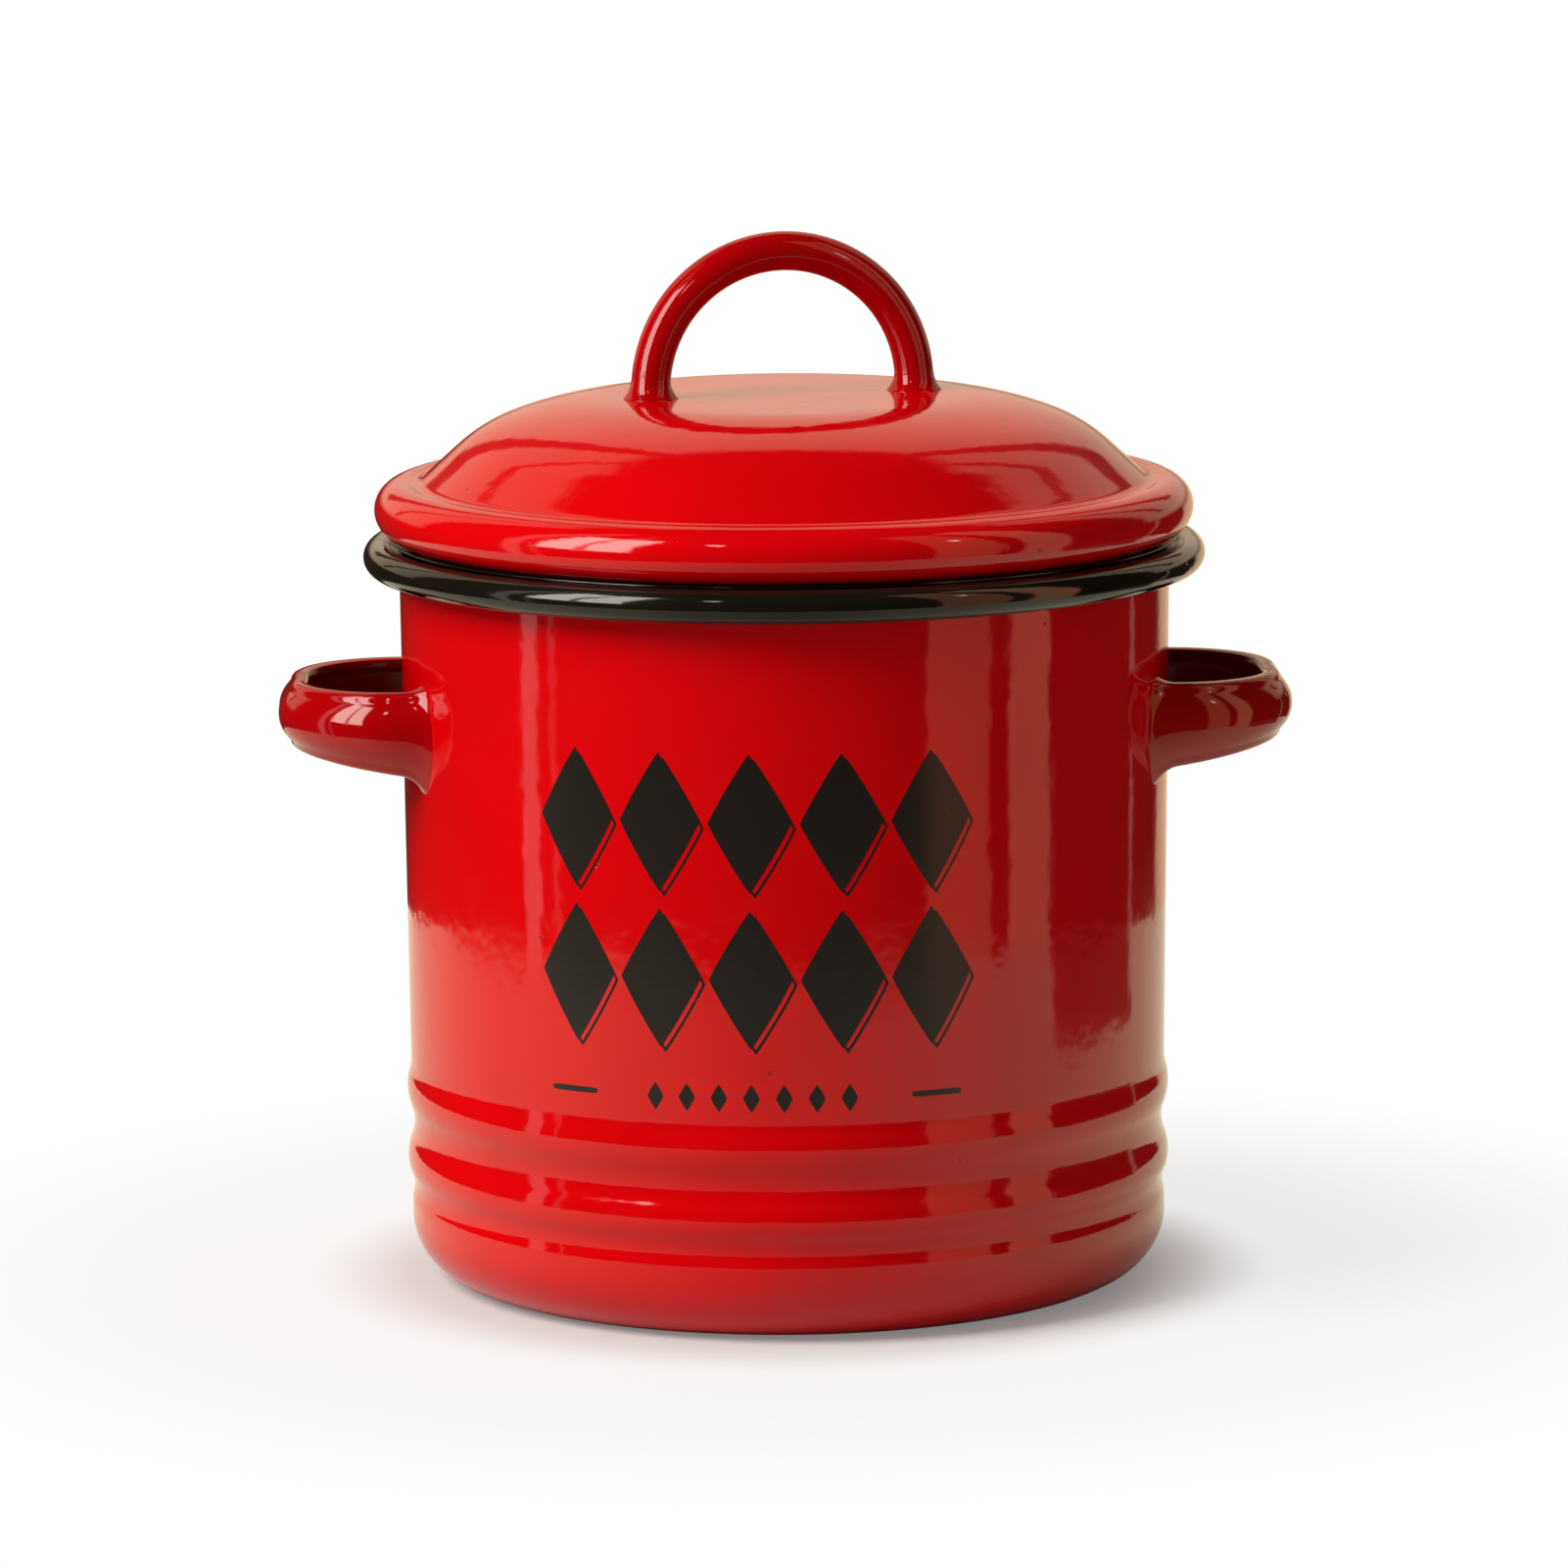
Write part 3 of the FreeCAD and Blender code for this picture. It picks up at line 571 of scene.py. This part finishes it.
def lid_line(lid):
    """Skin of the lid from the axis: flat, shoulder, haunch, flank, valley, bead and skirt."""
    top = lid.bead_height + lid.dome_rise
    centre = (lid.top_flat, top - lid.shoulder_radius)
    knee = math.degrees(math.acos((lid.shoulder_reach - lid.top_flat) / lid.shoulder_radius))
    steep = 90 - math.degrees(lid.flank_angle)
    haunch_centre = polar(polar(centre, lid.shoulder_radius, knee), -lid.haunch_radius, knee)
    start = polar(haunch_centre, lid.haunch_radius, steep)
    bead = np.array([lid.bead_centre, lid.bead_height])
    outside = polar((0, 0), 1, steep)
    along = np.array([outside[1], -outside[0]])
    lift = lid.valley_radius - (bead - start) @ outside
    run = (bead - start) @ along - math.sqrt((lid.valley_radius + lid.bead_radius) ** 2 - lift ** 2)
    end = start + run * along
    valley_centre = end + lid.valley_radius * outside
    meet = math.degrees(math.atan2(*(valley_centre - bead)[::-1]))
    under = lid.bead_height - lid.bead_radius
    bend_centre = (lid.skirt_radius + lid.skirt_bend, under - lid.skirt_bend)
    foot = lid.bead_height - lid.skirt_depth
    return chain(
        straight((0, top), (lid.top_flat, top), 10),
        arc(centre, lid.shoulder_radius, 90, knee, 22),
        arc(haunch_centre, lid.haunch_radius, knee, steep, 16),
        straight(start, end, 8),
        arc(valley_centre, lid.valley_radius, steep + 180, meet + 180, 14),
        arc(bead, lid.bead_radius, meet, -90, 34),
        straight((bead[0], under), (bend_centre[0], under), 3),
        arc(bend_centre, lid.skirt_bend, 90, 180, 8),
        straight((lid.skirt_radius, bend_centre[1]), (lid.skirt_radius, foot), 10))


class KEEPER_OT_pot(bpy.types.Operator):
    """Add the enamelled pot with its ribs and rolled black rim"""
    bl_idname = "keeper.add_pot"
    bl_label = "Add pot"

    def execute(self, context):
        pot, finish = context.scene.keeper.pot, context.scene.keeper.finish
        wall, lip = pot_lines(pot)
        skin = chain(wall, lip)
        outline = sheet_outline(skin, pot.sheet)
        # Red outside up to the lip, black round lip and rim, cream inside.
        middle = (outline[1:] + outline[:-1]) / 2
        on_wall = len(wall[0])
        zones = np.ones(len(middle), int)
        zones[:on_wall - 1] = 0
        inside = np.arange(len(middle)) >= len(outline) - on_wall - 1
        zones[inside & (middle[:, 1] < pot.lip_height - pot.rim_inside)] = 2
        materials = [enamel("glossy_red", finish.red, finish.red_deep),
                     enamel("glossy_black", finish.black, shade(finish.black, 0.5)),
                     enamel("glossy_cream", finish.cream, shade(finish.cream, 0.9))]
        piece = make_piece("pot", turned(outline), (True, False), materials, zones)
        dress(piece, "pot", "red_enamel", "pot_shell")
        return {"FINISHED"}


def strap_grid(strap, pot, side):
    """Section carried along the D: outward offset = crown (1 - |t|^2.2) +- half the sheet.

    The route runs out from the wall, round both corners and back; near its ends the section grows into
    pointed weld tips and leans on the wall's own curve. t runs from -1 to 1 up the outer face and back
    down the inner one, with a half circle over each edge.
    """
    middle = strap.top - strap.drop / 2
    nose = wall_radius(pot, middle) + strap.reach
    wall = math.sqrt(wall_radius(pot, middle) ** 2 - strap.half ** 2)
    turn_x, inner = nose - strap.corner, strap.half - strap.corner
    lead = wall - strap.sink
    route, left = chain(
        straight((lead, -strap.half), (turn_x, -strap.half), 26),
        arc((turn_x, -inner), strap.corner, -90, 0, 26),
        straight((nose, -inner), (nose, inner), 12),
        arc((turn_x, inner), strap.corner, 0, 90, 26),
        straight((turn_x, strap.half), (lead, strap.half), 26))
    distance = np.maximum(route[:, 0] - wall, 0)
    near = np.clip(1 - distance / strap.flare_run, 0, 1)
    flare = strap.flare * near ** 2.2
    weld = strap.weld * np.clip(1 - distance / strap.weld_run, 0, 1) ** 2
    cap = strap.sheet / 2
    height = strap.drop + distance / strap.reach * (strap.nose - strap.drop)
    # The upper tips flare 0.4 times as far as the lower ones.
    low = strap.top - height - flare + cap
    high = strap.top + 0.4 * flare - cap
    up, edge, flat = np.linspace(-1, 1, STRAP_FACE), half_turn(STRAP_EDGE), np.zeros(STRAP_FACE)
    level = np.concatenate([up, np.ones(STRAP_EDGE), -up, -np.ones(STRAP_EDGE)])
    tip = np.concatenate([flat, np.sin(edge), flat, -np.sin(edge)])
    face = np.concatenate([flat + 1, np.cos(edge), flat - 1, -np.cos(edge)])
    crown = strap.crown * (1 - np.abs(level) ** 2.2)
    hem = 0.25 * strap.sheet * np.abs(level) ** 10 * (face < 0)
    offset = crown + face * (cap + weld[:, None]) - hem
    z = (low + high)[:, None] / 2 + (high - low)[:, None] / 2 * level + cap * tip
    x = route[:, 0, None] - left[:, 0, None] * offset
    y = route[:, 1, None] - left[:, 1, None] * offset
    own_wall = np.sqrt(wall_radius(pot, z) ** 2 - y ** 2)
    x = x + near[:, None] ** 1.5 * (own_wall - wall)
    return close_ends(np.stack([x, y, z], -1)) * np.array([side, side, 1.0])


class KEEPER_OT_straps(bpy.types.Operator):
    """Add the two crowned side handles with their weld tips"""
    bl_idname = "keeper.add_straps"
    bl_label = "Add side handles"

    def execute(self, context):
        keeper = context.scene.keeper
        # The handles' darker red and the dark red of their inside are painted shade.
        red, shaded_maroon = keeper.finish.shaded_handle_red, keeper.finish.shaded_maroon
        materials = [enamel("glossy_shaded_red", red, shade(red, 0.85)),
                     enamel("glossy_maroon", shaded_maroon, shaded_maroon, 0.12)]
        # The inner face is dark red with low gloss, painted shade of the hollow between strap and
        # wall, and so are two rows of each edge beside it.
        inner = STRAP_FACE + STRAP_EDGE
        inside = np.zeros(2 * inner, int)
        inside[inner - 2:inner + STRAP_FACE + 2] = 1
        for name, side in (("side_handle_right", 1.0), ("side_handle_left", -1.0)):
            grid = strap_grid(keeper.strap, keeper.pot, side)
            zones = np.tile(inside, len(grid) - 1)
            piece = make_piece(name.replace("side_handle", "strap"), grid[None], (False, True),
                               materials, zones)
            dress(piece, "pot", "red_enamel", name)
        return {"FINISHED"}


class KEEPER_OT_lid(bpy.types.Operator):
    """Add the pressed lid with its bead and skirt"""
    bl_idname = "keeper.add_lid"
    bl_label = "Add lid"

    def execute(self, context):
        lid = context.scene.keeper.lid
        skin = lid_line(lid)
        outline = sheet_outline(skin, -lid.sheet)
        zones = np.zeros(len(outline) - 1, int)
        zones[len(skin[0]) - CREAM_ROWS:] = 1
        materials = [bpy.data.materials["glossy_red"], bpy.data.materials["glossy_cream"]]
        piece = make_piece("lid", turned(outline), (True, False), materials, zones)
        dress(piece, "lid", "red_enamel", "lid_shell")
        return {"FINISHED"}


def arch_grid(lid):
    """Circle of the rod's radius carried over two legs and a half circle, with collars at its feet."""
    top = lid.bead_height + lid.dome_rise
    half, leg = lid.arch_half, lid.arch_leg
    sink = 0.3 * lid.sheet
    route, left = chain(straight((half, -sink), (half, leg), 10), arc((0, leg), half, 0, 180, 90),
                        straight((-half, leg), (-half, -sink), 10))
    collar = lid.foot_swell * np.clip(1 - np.maximum(route[:, 1], 0) / lid.foot_rise, 0, 1) ** 2.4
    radius = (lid.rod_radius + collar)[:, None]
    angle = full_turn(40)
    across = route[:, 0, None] + left[:, 0, None] * radius * np.cos(angle)
    up = route[:, 1, None] + left[:, 1, None] * radius * np.cos(angle)
    depth = radius * np.sin(angle)
    grid = close_ends(np.stack([across, depth, np.maximum(up, -sink) + top], -1))
    c, s = math.cos(lid.turned), math.sin(lid.turned)
    return grid @ np.array([[c, s, 0], [-s, c, 0], [0, 0, 1]])


class KEEPER_OT_arch(bpy.types.Operator):
    """Add the lid's arch handle with its weld collars"""
    bl_idname = "keeper.add_arch"
    bl_label = "Add lid handle"

    def execute(self, context):
        grid = arch_grid(context.scene.keeper.lid)
        # The arch takes the handles' darker red, which is painted shade.
        piece = make_piece("arch", grid[None], (False, True), [bpy.data.materials["glossy_shaded_red"]])
        dress(piece, "lid", "red_enamel", "lid_handle")
        return {"FINISHED"}


def strainer_outline(strainer, pot):
    """Outline of the frame's sheet: ledge, bend, wall, the flange that follows the lip, and back."""
    cup, bend = strainer.cup_radius, strainer.bend
    floor = pot.lip_height - strainer.depth
    centre = (pot.mouth_radius + pot.lip_sweep, pot.lip_height)
    points, normals = chain(
        straight((cup - strainer.ledge, floor), (cup - bend, floor), 6),
        arc((cup - bend, floor + bend), bend, -90, 0, 12),
        straight((cup, floor + bend), (cup, pot.lip_height), 10),
        arc(centre, centre[0] - cup, 180, 180 - math.degrees(strainer.flange_turn), 16))
    edge = edge_round(points[0], -normals[0], -strainer.sheet)[::-1]
    return np.concatenate([sheet_outline((points, normals), strainer.sheet), edge])


def woven_net(strainer):
    """Two sets of wires over a disc; each wire's height is a sine of the distance along it.

    Where a wire of one set is high, the wire that it crosses is low.
    """
    count = int(strainer.net_radius / strainer.wire_pitch)
    offset = (np.arange(-count, count + 1) * strainer.wire_pitch)[:, None, None]
    share = np.concatenate([[-1], np.linspace(-1, 1, 128), [1]])[None, :, None]
    thick = np.concatenate([[0], np.ones(128), [0]])[None, :, None] * strainer.wire_radius
    angle = full_turn(4)
    reach = np.sqrt(np.maximum(strainer.net_radius ** 2 - offset ** 2, 1e-8))
    along = share * reach + 0 * angle
    parity = (-1.0) ** np.arange(-count, count + 1)[:, None, None]
    weave = strainer.wire_wave * parity * np.cos(math.pi * along / strainer.wire_pitch)
    across = offset + thick * np.cos(angle) + 0 * along
    middle, rise = strainer.net_height, thick * np.sin(angle)
    return (np.stack([along, across, middle + weave + rise], -1),
            np.stack([across, along, middle - weave + rise], -1))


def clamp_outline(strainer):
    """Section of the ring on the net: a superellipse beside the cup's bend, just over the wires."""
    gap, lift = 0.0002, 0.0004
    angle = full_turn(32)
    width, height = strainer.clamp_width / 2, strainer.clamp_sheet / 2
    across = strainer.cup_radius - strainer.bend - gap - width + width * squared(np.cos(angle), 0.3)
    up = strainer.net_height + lift + height + height * squared(np.sin(angle), 0.5)
    return np.stack([across, up], 1)


class KEEPER_OT_strainer(bpy.types.Operator):
    """Add the strainer: frame, woven net and the ring that holds the net"""
    bl_idname = "keeper.add_strainer"
    bl_label = "Add strainer"

    def execute(self, context):
        keeper = context.scene.keeper
        strainer = keeper.strainer
        steel = stainless("brushed_steel", keeper.finish.steel, True)
        wire = stainless("steel_wire", keeper.finish.steel, False)
        # The frame is black enamel like the rim; its black is in part painted shade, keeping it as
        # dark as the shaded slot between lid and rim.
        black = bpy.data.materials["glossy_black"]
        cup = turned(strainer_outline(strainer, keeper.pot))
        piece = make_piece("strainer_cup", cup, (True, True), [black])
        dress(piece, "strainer", "black_enamel", "strainer_frame")
        for name, grid in zip(("warp", "weft"), woven_net(strainer)):
            piece = make_piece("net_" + name, grid, (False, True), [wire])
            dress(piece, "strainer", "stainless_mesh", "strainer_mesh")
        piece = make_piece("clamp_ring", turned(clamp_outline(strainer)), (True, True), [steel])
        dress(piece, "strainer", "stainless_steel", "strainer_clamp_ring")
        return {"FINISHED"}


def wall_patches(pot, centre_turn, ink, places, halves, power, inner):
    """Printed shapes on the wall, each a superellipse |u/a|^p + |v/b|^p = 1 about its place.

    The shape is filled, or where inner is above 0 only a rim of it; u runs round the wall and v up.
    Its back is sunk into the wall.
    """
    sunk = 0.0002
    angle = full_turn(72)
    ring = squared(np.stack([np.cos(angle), np.sin(angle)], 1), 2 / power)
    steps = np.linspace(inner, 1, 12 if inner == 0 else 4)
    share = np.concatenate([steps, steps[::-1]])[:, None, None]
    depth = np.concatenate([np.full(len(steps), ink), np.full(len(steps), -sunk)])
    flat = np.array(places)[:, None, None, :] + np.array(halves) * share * ring
    around, height = flat[..., 0], flat[..., 1]
    radius = wall_radius(pot, height) + depth[None, :, None]
    place = centre_turn + around / wall_radius(pot, height)
    return np.stack([radius * np.sin(place), -radius * np.cos(place), height], -1)


class KEEPER_OT_motif(bpy.types.Operator):
    """Add the printed pattern of lozenges, rules and dots on the pot's front"""
    bl_idname = "keeper.add_motif"
    bl_label = "Add printed pattern"

    def execute(self, context):
        keeper = context.scene.keeper
        motif, pot = keeper.motif, keeper.pot
        ink = printed_ink("printed_black", keeper.finish.ink, keeper.finish.red_deep)
        columns = (np.arange(5) - 2) * motif.pitch
        lozenges = [(u, v) for v in (motif.upper_row, motif.lower_row) for u in columns]
        halves = (motif.half_width, motif.half_height)
        shifted = [(u + motif.shadow, v - motif.shadow) for u, v in lozenges]
        narrow = 1 - motif.line * math.hypot(*halves) / (halves[0] * halves[1])
        dot_pitch, dot_halves = 0.0052, (0.0013, 0.0022)
        rule_place, rule_halves = 0.0300, (0.0042, 0.00045)
        dots = [(k * dot_pitch, motif.small_row) for k in range(-3, 4)]
        rules = [(side * rule_place, motif.small_row) for side in (-1, 1)]
        # Name, places, half sizes, power, inner share, and share of the ink's height.
        sets = (("lozenges", lozenges, halves, 1.06, 0.0, 1.0),
                ("outlines", shifted, halves, 1.06, narrow, 0.6),
                ("dots", dots, dot_halves, 1.1, 0.0, 1.0),
                ("rules", rules, rule_halves, 6.0, 0.0, 1.0))
        for name, places, size, power, inner, share in sets:
            grids = wall_patches(pot, motif.centre_turn, motif.ink * share, places, size, power, inner)
            piece = make_piece("print_" + name, grids, (inner > 0, True), [ink])
            dress(piece, "pot", "red_enamel")
        return {"FINISHED"}


def way_out(azimuth, elevation):
    """Unit vector from the object outwards; azimuth 0 is its front, and both are in radians."""
    across = math.cos(elevation)
    return Vector((math.sin(azimuth) * across, -math.cos(azimuth) * across, math.sin(elevation)))


# Azimuth and elevation in degrees, counted from the camera's side, distance; size, level and tint.
LAMPS = (
    ("key_lamp", (-61, 42, 1.6), (0.75, 0.95), 11.2, (1.0, 0.97, 0.93)),
    ("back_lamp", (152, 38, 1.7), (1.2, 0.8), 1.6, (1.0, 0.95, 0.88)),
)

BAR = (1.0, 0.6, 0.5)  # tint of the bars

# Glowing panels painted on the dome as reflections of a room's walls and lamps: azimuth from and to,
# elevation from and to, softness of the edges, level and tint.
PANELS = {
    "back_low": ((141, 192), (-60, 6), 3.0, 1.0, (1.0, 0.7, 0.42)),
    "back_high": ((113, 247), (8, 60), 3.0, 0.85, (1.0, 0.76, 0.54)),
    "back_bar": ((205, 212), (14, 64), 1.0, 0.1, BAR),
    "back_thin_bar": ((227, 230), (10, 64), 0.8, 0.1, BAR),
    "right_bar": ((142, 149), (20, 64), 1.0, 0.1, BAR),
    "right_thin_bar": ((124, 128), (16, 64), 0.8, 0.1, BAR),
    "left_strip": ((-78.3, -72.9), (-60, 66), 0.4, 1.15, (1.0, 0.9, 0.84)),
    "left_line": ((-68.0, -66.4), (-60, 60), 0.4, 0.6, (1.0, 0.85, 0.8)),
    "right_panel": ((39, 58), (-60, 62), 0.6, 1.2, (1.0, 0.38, 0.22)),
    "right_strip": ((64.5, 79), (-60, 62), 0.6, 1.8, (1.0, 0.43, 0.25)),
    "right_line": ((117.5, 119.5), (-60, 12), 0.4, 0.5, (1.0, 0.85, 0.7)),
    # The window and the two small panels are painted highlights, glints that stand in for the key
    # lamp, which reflections don't see.
    "window": ((-67, -40), (9, 50), 1.2, 9.0, (1.0, 0.95, 0.88)),
    "window_bar": ((-55, -52.5), (6, 60), 0.5, 1.5, (1.0, 0.8, 0.65)),
    "small_left": ((-22, -18.5), (38, 44), 0.5, 9.0, (1.0, 0.95, 0.88)),
    "small_right": ((49, 52), (34, 39), 0.5, 8.0, (1.0, 0.95, 0.88)),
}


def add_lamps(stage):
    """Soft lamps turned towards the pot."""
    foot, aim = Vector((0, 0, 0.02)), Vector((0, 0, 0.08))
    for name, (azimuth, elevation, distance), size, level, tint in LAMPS:
        data = bpy.data.lights.new(name, "AREA")
        data.shape = "RECTANGLE"
        data.size, data.size_y = size
        data.energy = LAMP_WATTS * level * size[0] * size[1]
        data.color = tint
        way = way_out(math.radians(azimuth) + stage.azimuth, math.radians(elevation))
        place = way * distance + foot
        lamp = new_object(name, data)
        lamp.location = place
        lamp.rotation_euler = (aim - place).to_track_quat("-Z", "Y").to_euler()
        # The lamps stay out of reflections; their highlights are painted on the dome.
        lamp.visible_camera = lamp.visible_glossy = False


def bearing(x, y, stage):
    """Azimuth of a place round the object in degrees, counted from the camera's side."""
    return x.math("ARCTAN2", 0.0 - y) * math.degrees(1) - math.degrees(stage.azimuth)


def light_path_seen(finish):
    """1 for camera, glossy and transmission rays."""
    camera, glossy, through = (finish.node("ShaderNodeLightPath", {}, {}, name)
                               for name in ("Is Camera Ray", "Is Glossy Ray", "Is Transmission Ray"))
    return camera.math("MAXIMUM", glossy).math("MAXIMUM", through)


def add_floor(tone, stage):
    """Round floor that keeps the object's shadow; for the camera it turns to plain white further out.

    In reflections it glows as a painted reflection of a lit floor: dimmer towards the camera, with a
    dark stretch right.
    """
    finish = Finish(bpy.data.materials.new("pale_floor"))
    place = finish.place()
    x, y, _z = finish.split(place)
    away = (x * x + y * y) ** 0.5
    grain = finish.noise(place, "floor", 3.0)
    matt = finish.node("ShaderNodeBsdfPrincipled", {}, {
        "Base Color": finish.mix(grain * 0.12, tone, shade(tone, 0.94)), "Roughness": 0.75,
        "Specular IOR Level": 0.2})
    # Painted reflection: a glow that only glossy rays see, dimmer towards the camera and dark in a
    # stretch to the right.
    azimuth = bearing(x, y, stage)
    ahead = (azimuth * math.radians(1)).math("COSINE").math("MAXIMUM", 0.0)
    dark = azimuth.within((80, 117), 1.0) * away.ramp(0.255, 0.275)
    level = (1.0 - 0.64 * ahead ** 3.0) * (1.0 - dark * 0.97)
    reflection_glow = finish.glow(finish.mix(level, (0.0, 0.0, 0.0), (1.0, 0.92, 0.66)))
    # The white share is 0.2 under the pot, 0.78 from 82 mm out and 1 from 180 mm out.
    clear = 0.2 + 0.58 * away.ramp(0.058, 0.082) + 0.22 * away.ramp(0.085, 0.18)
    seen = finish.blend(light_path_seen(finish) * clear, matt, finish.glow((1.0, 1.0, 1.0)))
    mirrored = finish.blend(0.85 * away.ramp(0.055, 0.095), matt, reflection_glow)
    glossy = finish.node("ShaderNodeLightPath", {}, {}, "Is Glossy Ray")
    finish.surface(finish.blend(glossy, seen, mirrored))
    radius = np.concatenate([np.linspace(0, 0.4, 9), np.linspace(0.5, 4.0, 8)])
    outline = np.stack([radius, np.full(len(radius), -0.00005)], 1)
    floor = make_piece("floor", turned(outline, 96), (True, False), [finish.block])
    if floor.data.polygons[0].normal.z < 0:
        floor.data.flip_normals()


def add_world(ambient):
    """White where it is seen or reflected; elsewhere an even, slightly warm light from all round."""
    world = bpy.data.worlds.new("soft_light")
    bpy.context.scene.world = world
    finish = Finish(world)
    soft = finish.node("ShaderNodeBackground", {}, {"Color": (1.0, 0.97, 0.93), "Strength": ambient})
    white = finish.node("ShaderNodeBackground", {}, {"Color": (1.0, 1.0, 1.0)})
    finish.surface(finish.blend(light_path_seen(finish), soft, white), "ShaderNodeOutputWorld")


def add_dome(stage):
    """Glowing dome round the object, seen in reflections alone: a painted reflection of a dark studio,
    with bright panels on it in place of lamps and lit walls.

    Its wall is upright, and its roof is a quarter circle stretched to the dome's height.
    """
    finish = Finish(bpy.data.materials.new("painted_reflection_dome"))
    x, y, z = finish.split(finish.place())
    azimuth = bearing(x, y, stage)
    elevation = (z - DOME_EYE).math("ARCTAN2", (x * x + y * y) ** 0.5) * math.degrees(1)
    # The dome glows: its colour is a painted reflection, dark with bright panels.
    tone = (0.035, 0.022, 0.016)
    for sides, heights, soft, level, tint in PANELS.values():
        opposite = (sides[0] + sides[1]) / 2 + 180
        place = azimuth.math("WRAP", opposite, opposite - 360)
        mask = place.within(sides, soft) * elevation.within(heights, soft)
        tone = finish.mix(mask, tone, shade(tint, level))
    finish.surface(finish.glow(tone))
    finish.block.cycles.emission_sampling = "NONE"
    outline = chain(straight((stage.dome_radius, 0), (stage.dome_radius, stage.dome_wall), 6),
                    arc((0, stage.dome_wall), stage.dome_radius, 0, 90, 24))[0]
    high = np.maximum(outline[:, 1] - stage.dome_wall, 0) / stage.dome_radius
    roof = high * (stage.dome_top - stage.dome_wall)
    outline[:, 1] = np.minimum(outline[:, 1], stage.dome_wall) + roof
    dome = make_piece("dome", turned(outline, 128), (True, False), [finish.block])
    for ray in ("camera", "diffuse", "transmission", "shadow", "volume_scatter"):
        setattr(dome, "visible_" + ray, False)


def add_camera(stage):
    """Camera at the photograph's angle; the aim point lies right of and below the picture's centre."""
    data = bpy.data.cameras.new("camera")
    data.sensor_width = stage.sensor
    data.lens = stage.focal_pixels / stage.picture_pixels * stage.sensor
    data.clip_start, data.clip_end = 0.05, 50.0
    back = way_out(stage.azimuth, stage.elevation)
    place = Vector((0, 0, stage.aim_height)) + back * stage.distance
    right = Vector((math.cos(stage.azimuth), math.sin(stage.azimuth), 0))
    up = back.cross(right)
    ahead = (-back - right * (stage.shift_right / stage.focal_pixels)
             + up * (stage.shift_down / stage.focal_pixels)).normalized()
    right = ahead.cross(up).normalized()
    up = right.cross(ahead)
    c, s = math.cos(stage.roll), math.sin(stage.roll)
    axes = (right * c + up * s, up * c - right * s, -ahead)
    camera = new_object("camera", data)
    camera.matrix_world = Matrix.Translation(place) @ Matrix(axes).transposed().to_4x4()
    bpy.context.scene.camera = camera


class KEEPER_OT_stage(bpy.types.Operator):
    """Add floor, even light, the dome that the enamel mirrors, lamps and camera"""
    bl_idname = "keeper.add_stage"
    bl_label = "Add stage"

    def execute(self, context):
        keeper = context.scene.keeper
        add_floor(keeper.finish.floor, keeper.stage)
        add_world(keeper.stage.ambient)
        add_dome(keeper.stage)
        add_lamps(keeper.stage)
        add_camera(keeper.stage)
        bpy.context.scene.view_settings.view_transform = "Standard"
        return {"FINISHED"}


class KEEPER_PT_panel(bpy.types.Panel):
    """Buttons and sizes of the grease keeper"""
    bl_idname = "KEEPER_PT_panel"
    bl_label = "Grease keeper"
    bl_space_type = "VIEW_3D"
    bl_region_type = "UI"
    bl_category = "Keeper"

    def draw(self, context):
        for operator in OPERATORS:
            self.layout.operator(operator.bl_idname)
        for name in SIZE_GROUPS:
            group = getattr(context.scene.keeper, name)
            box = self.layout.box()
            box.label(text=name.capitalize())
            for field in group.bl_rna.properties:
                if not field.is_readonly and field.identifier != "name":
                    box.prop(group, field.identifier)


OPERATORS = (KEEPER_OT_pot, KEEPER_OT_straps, KEEPER_OT_lid, KEEPER_OT_arch, KEEPER_OT_strainer,
             KEEPER_OT_motif, KEEPER_OT_stage)
CLASSES = (*SIZE_GROUPS.values(), KeeperSettings, *OPERATORS, KEEPER_PT_panel)


def register():
    """Make the classes and the scene's settings known."""
    for item in CLASSES:
        bpy.utils.register_class(item)
    bpy.types.Scene.keeper = PointerProperty(type=KeeperSettings)


def unregister():
    """Take back what register did."""
    del bpy.types.Scene.keeper
    for item in reversed(CLASSES):
        bpy.utils.unregister_class(item)


def main():
    """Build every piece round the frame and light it."""
    register()
    bpy.ops.keeper.add_pot()
    bpy.ops.keeper.add_straps()
    bpy.ops.keeper.add_lid()
    bpy.ops.keeper.add_arch()
    bpy.ops.keeper.add_strainer()
    bpy.ops.keeper.add_motif()
    bpy.ops.keeper.add_stage()


if __name__ == "__main__":
    main()
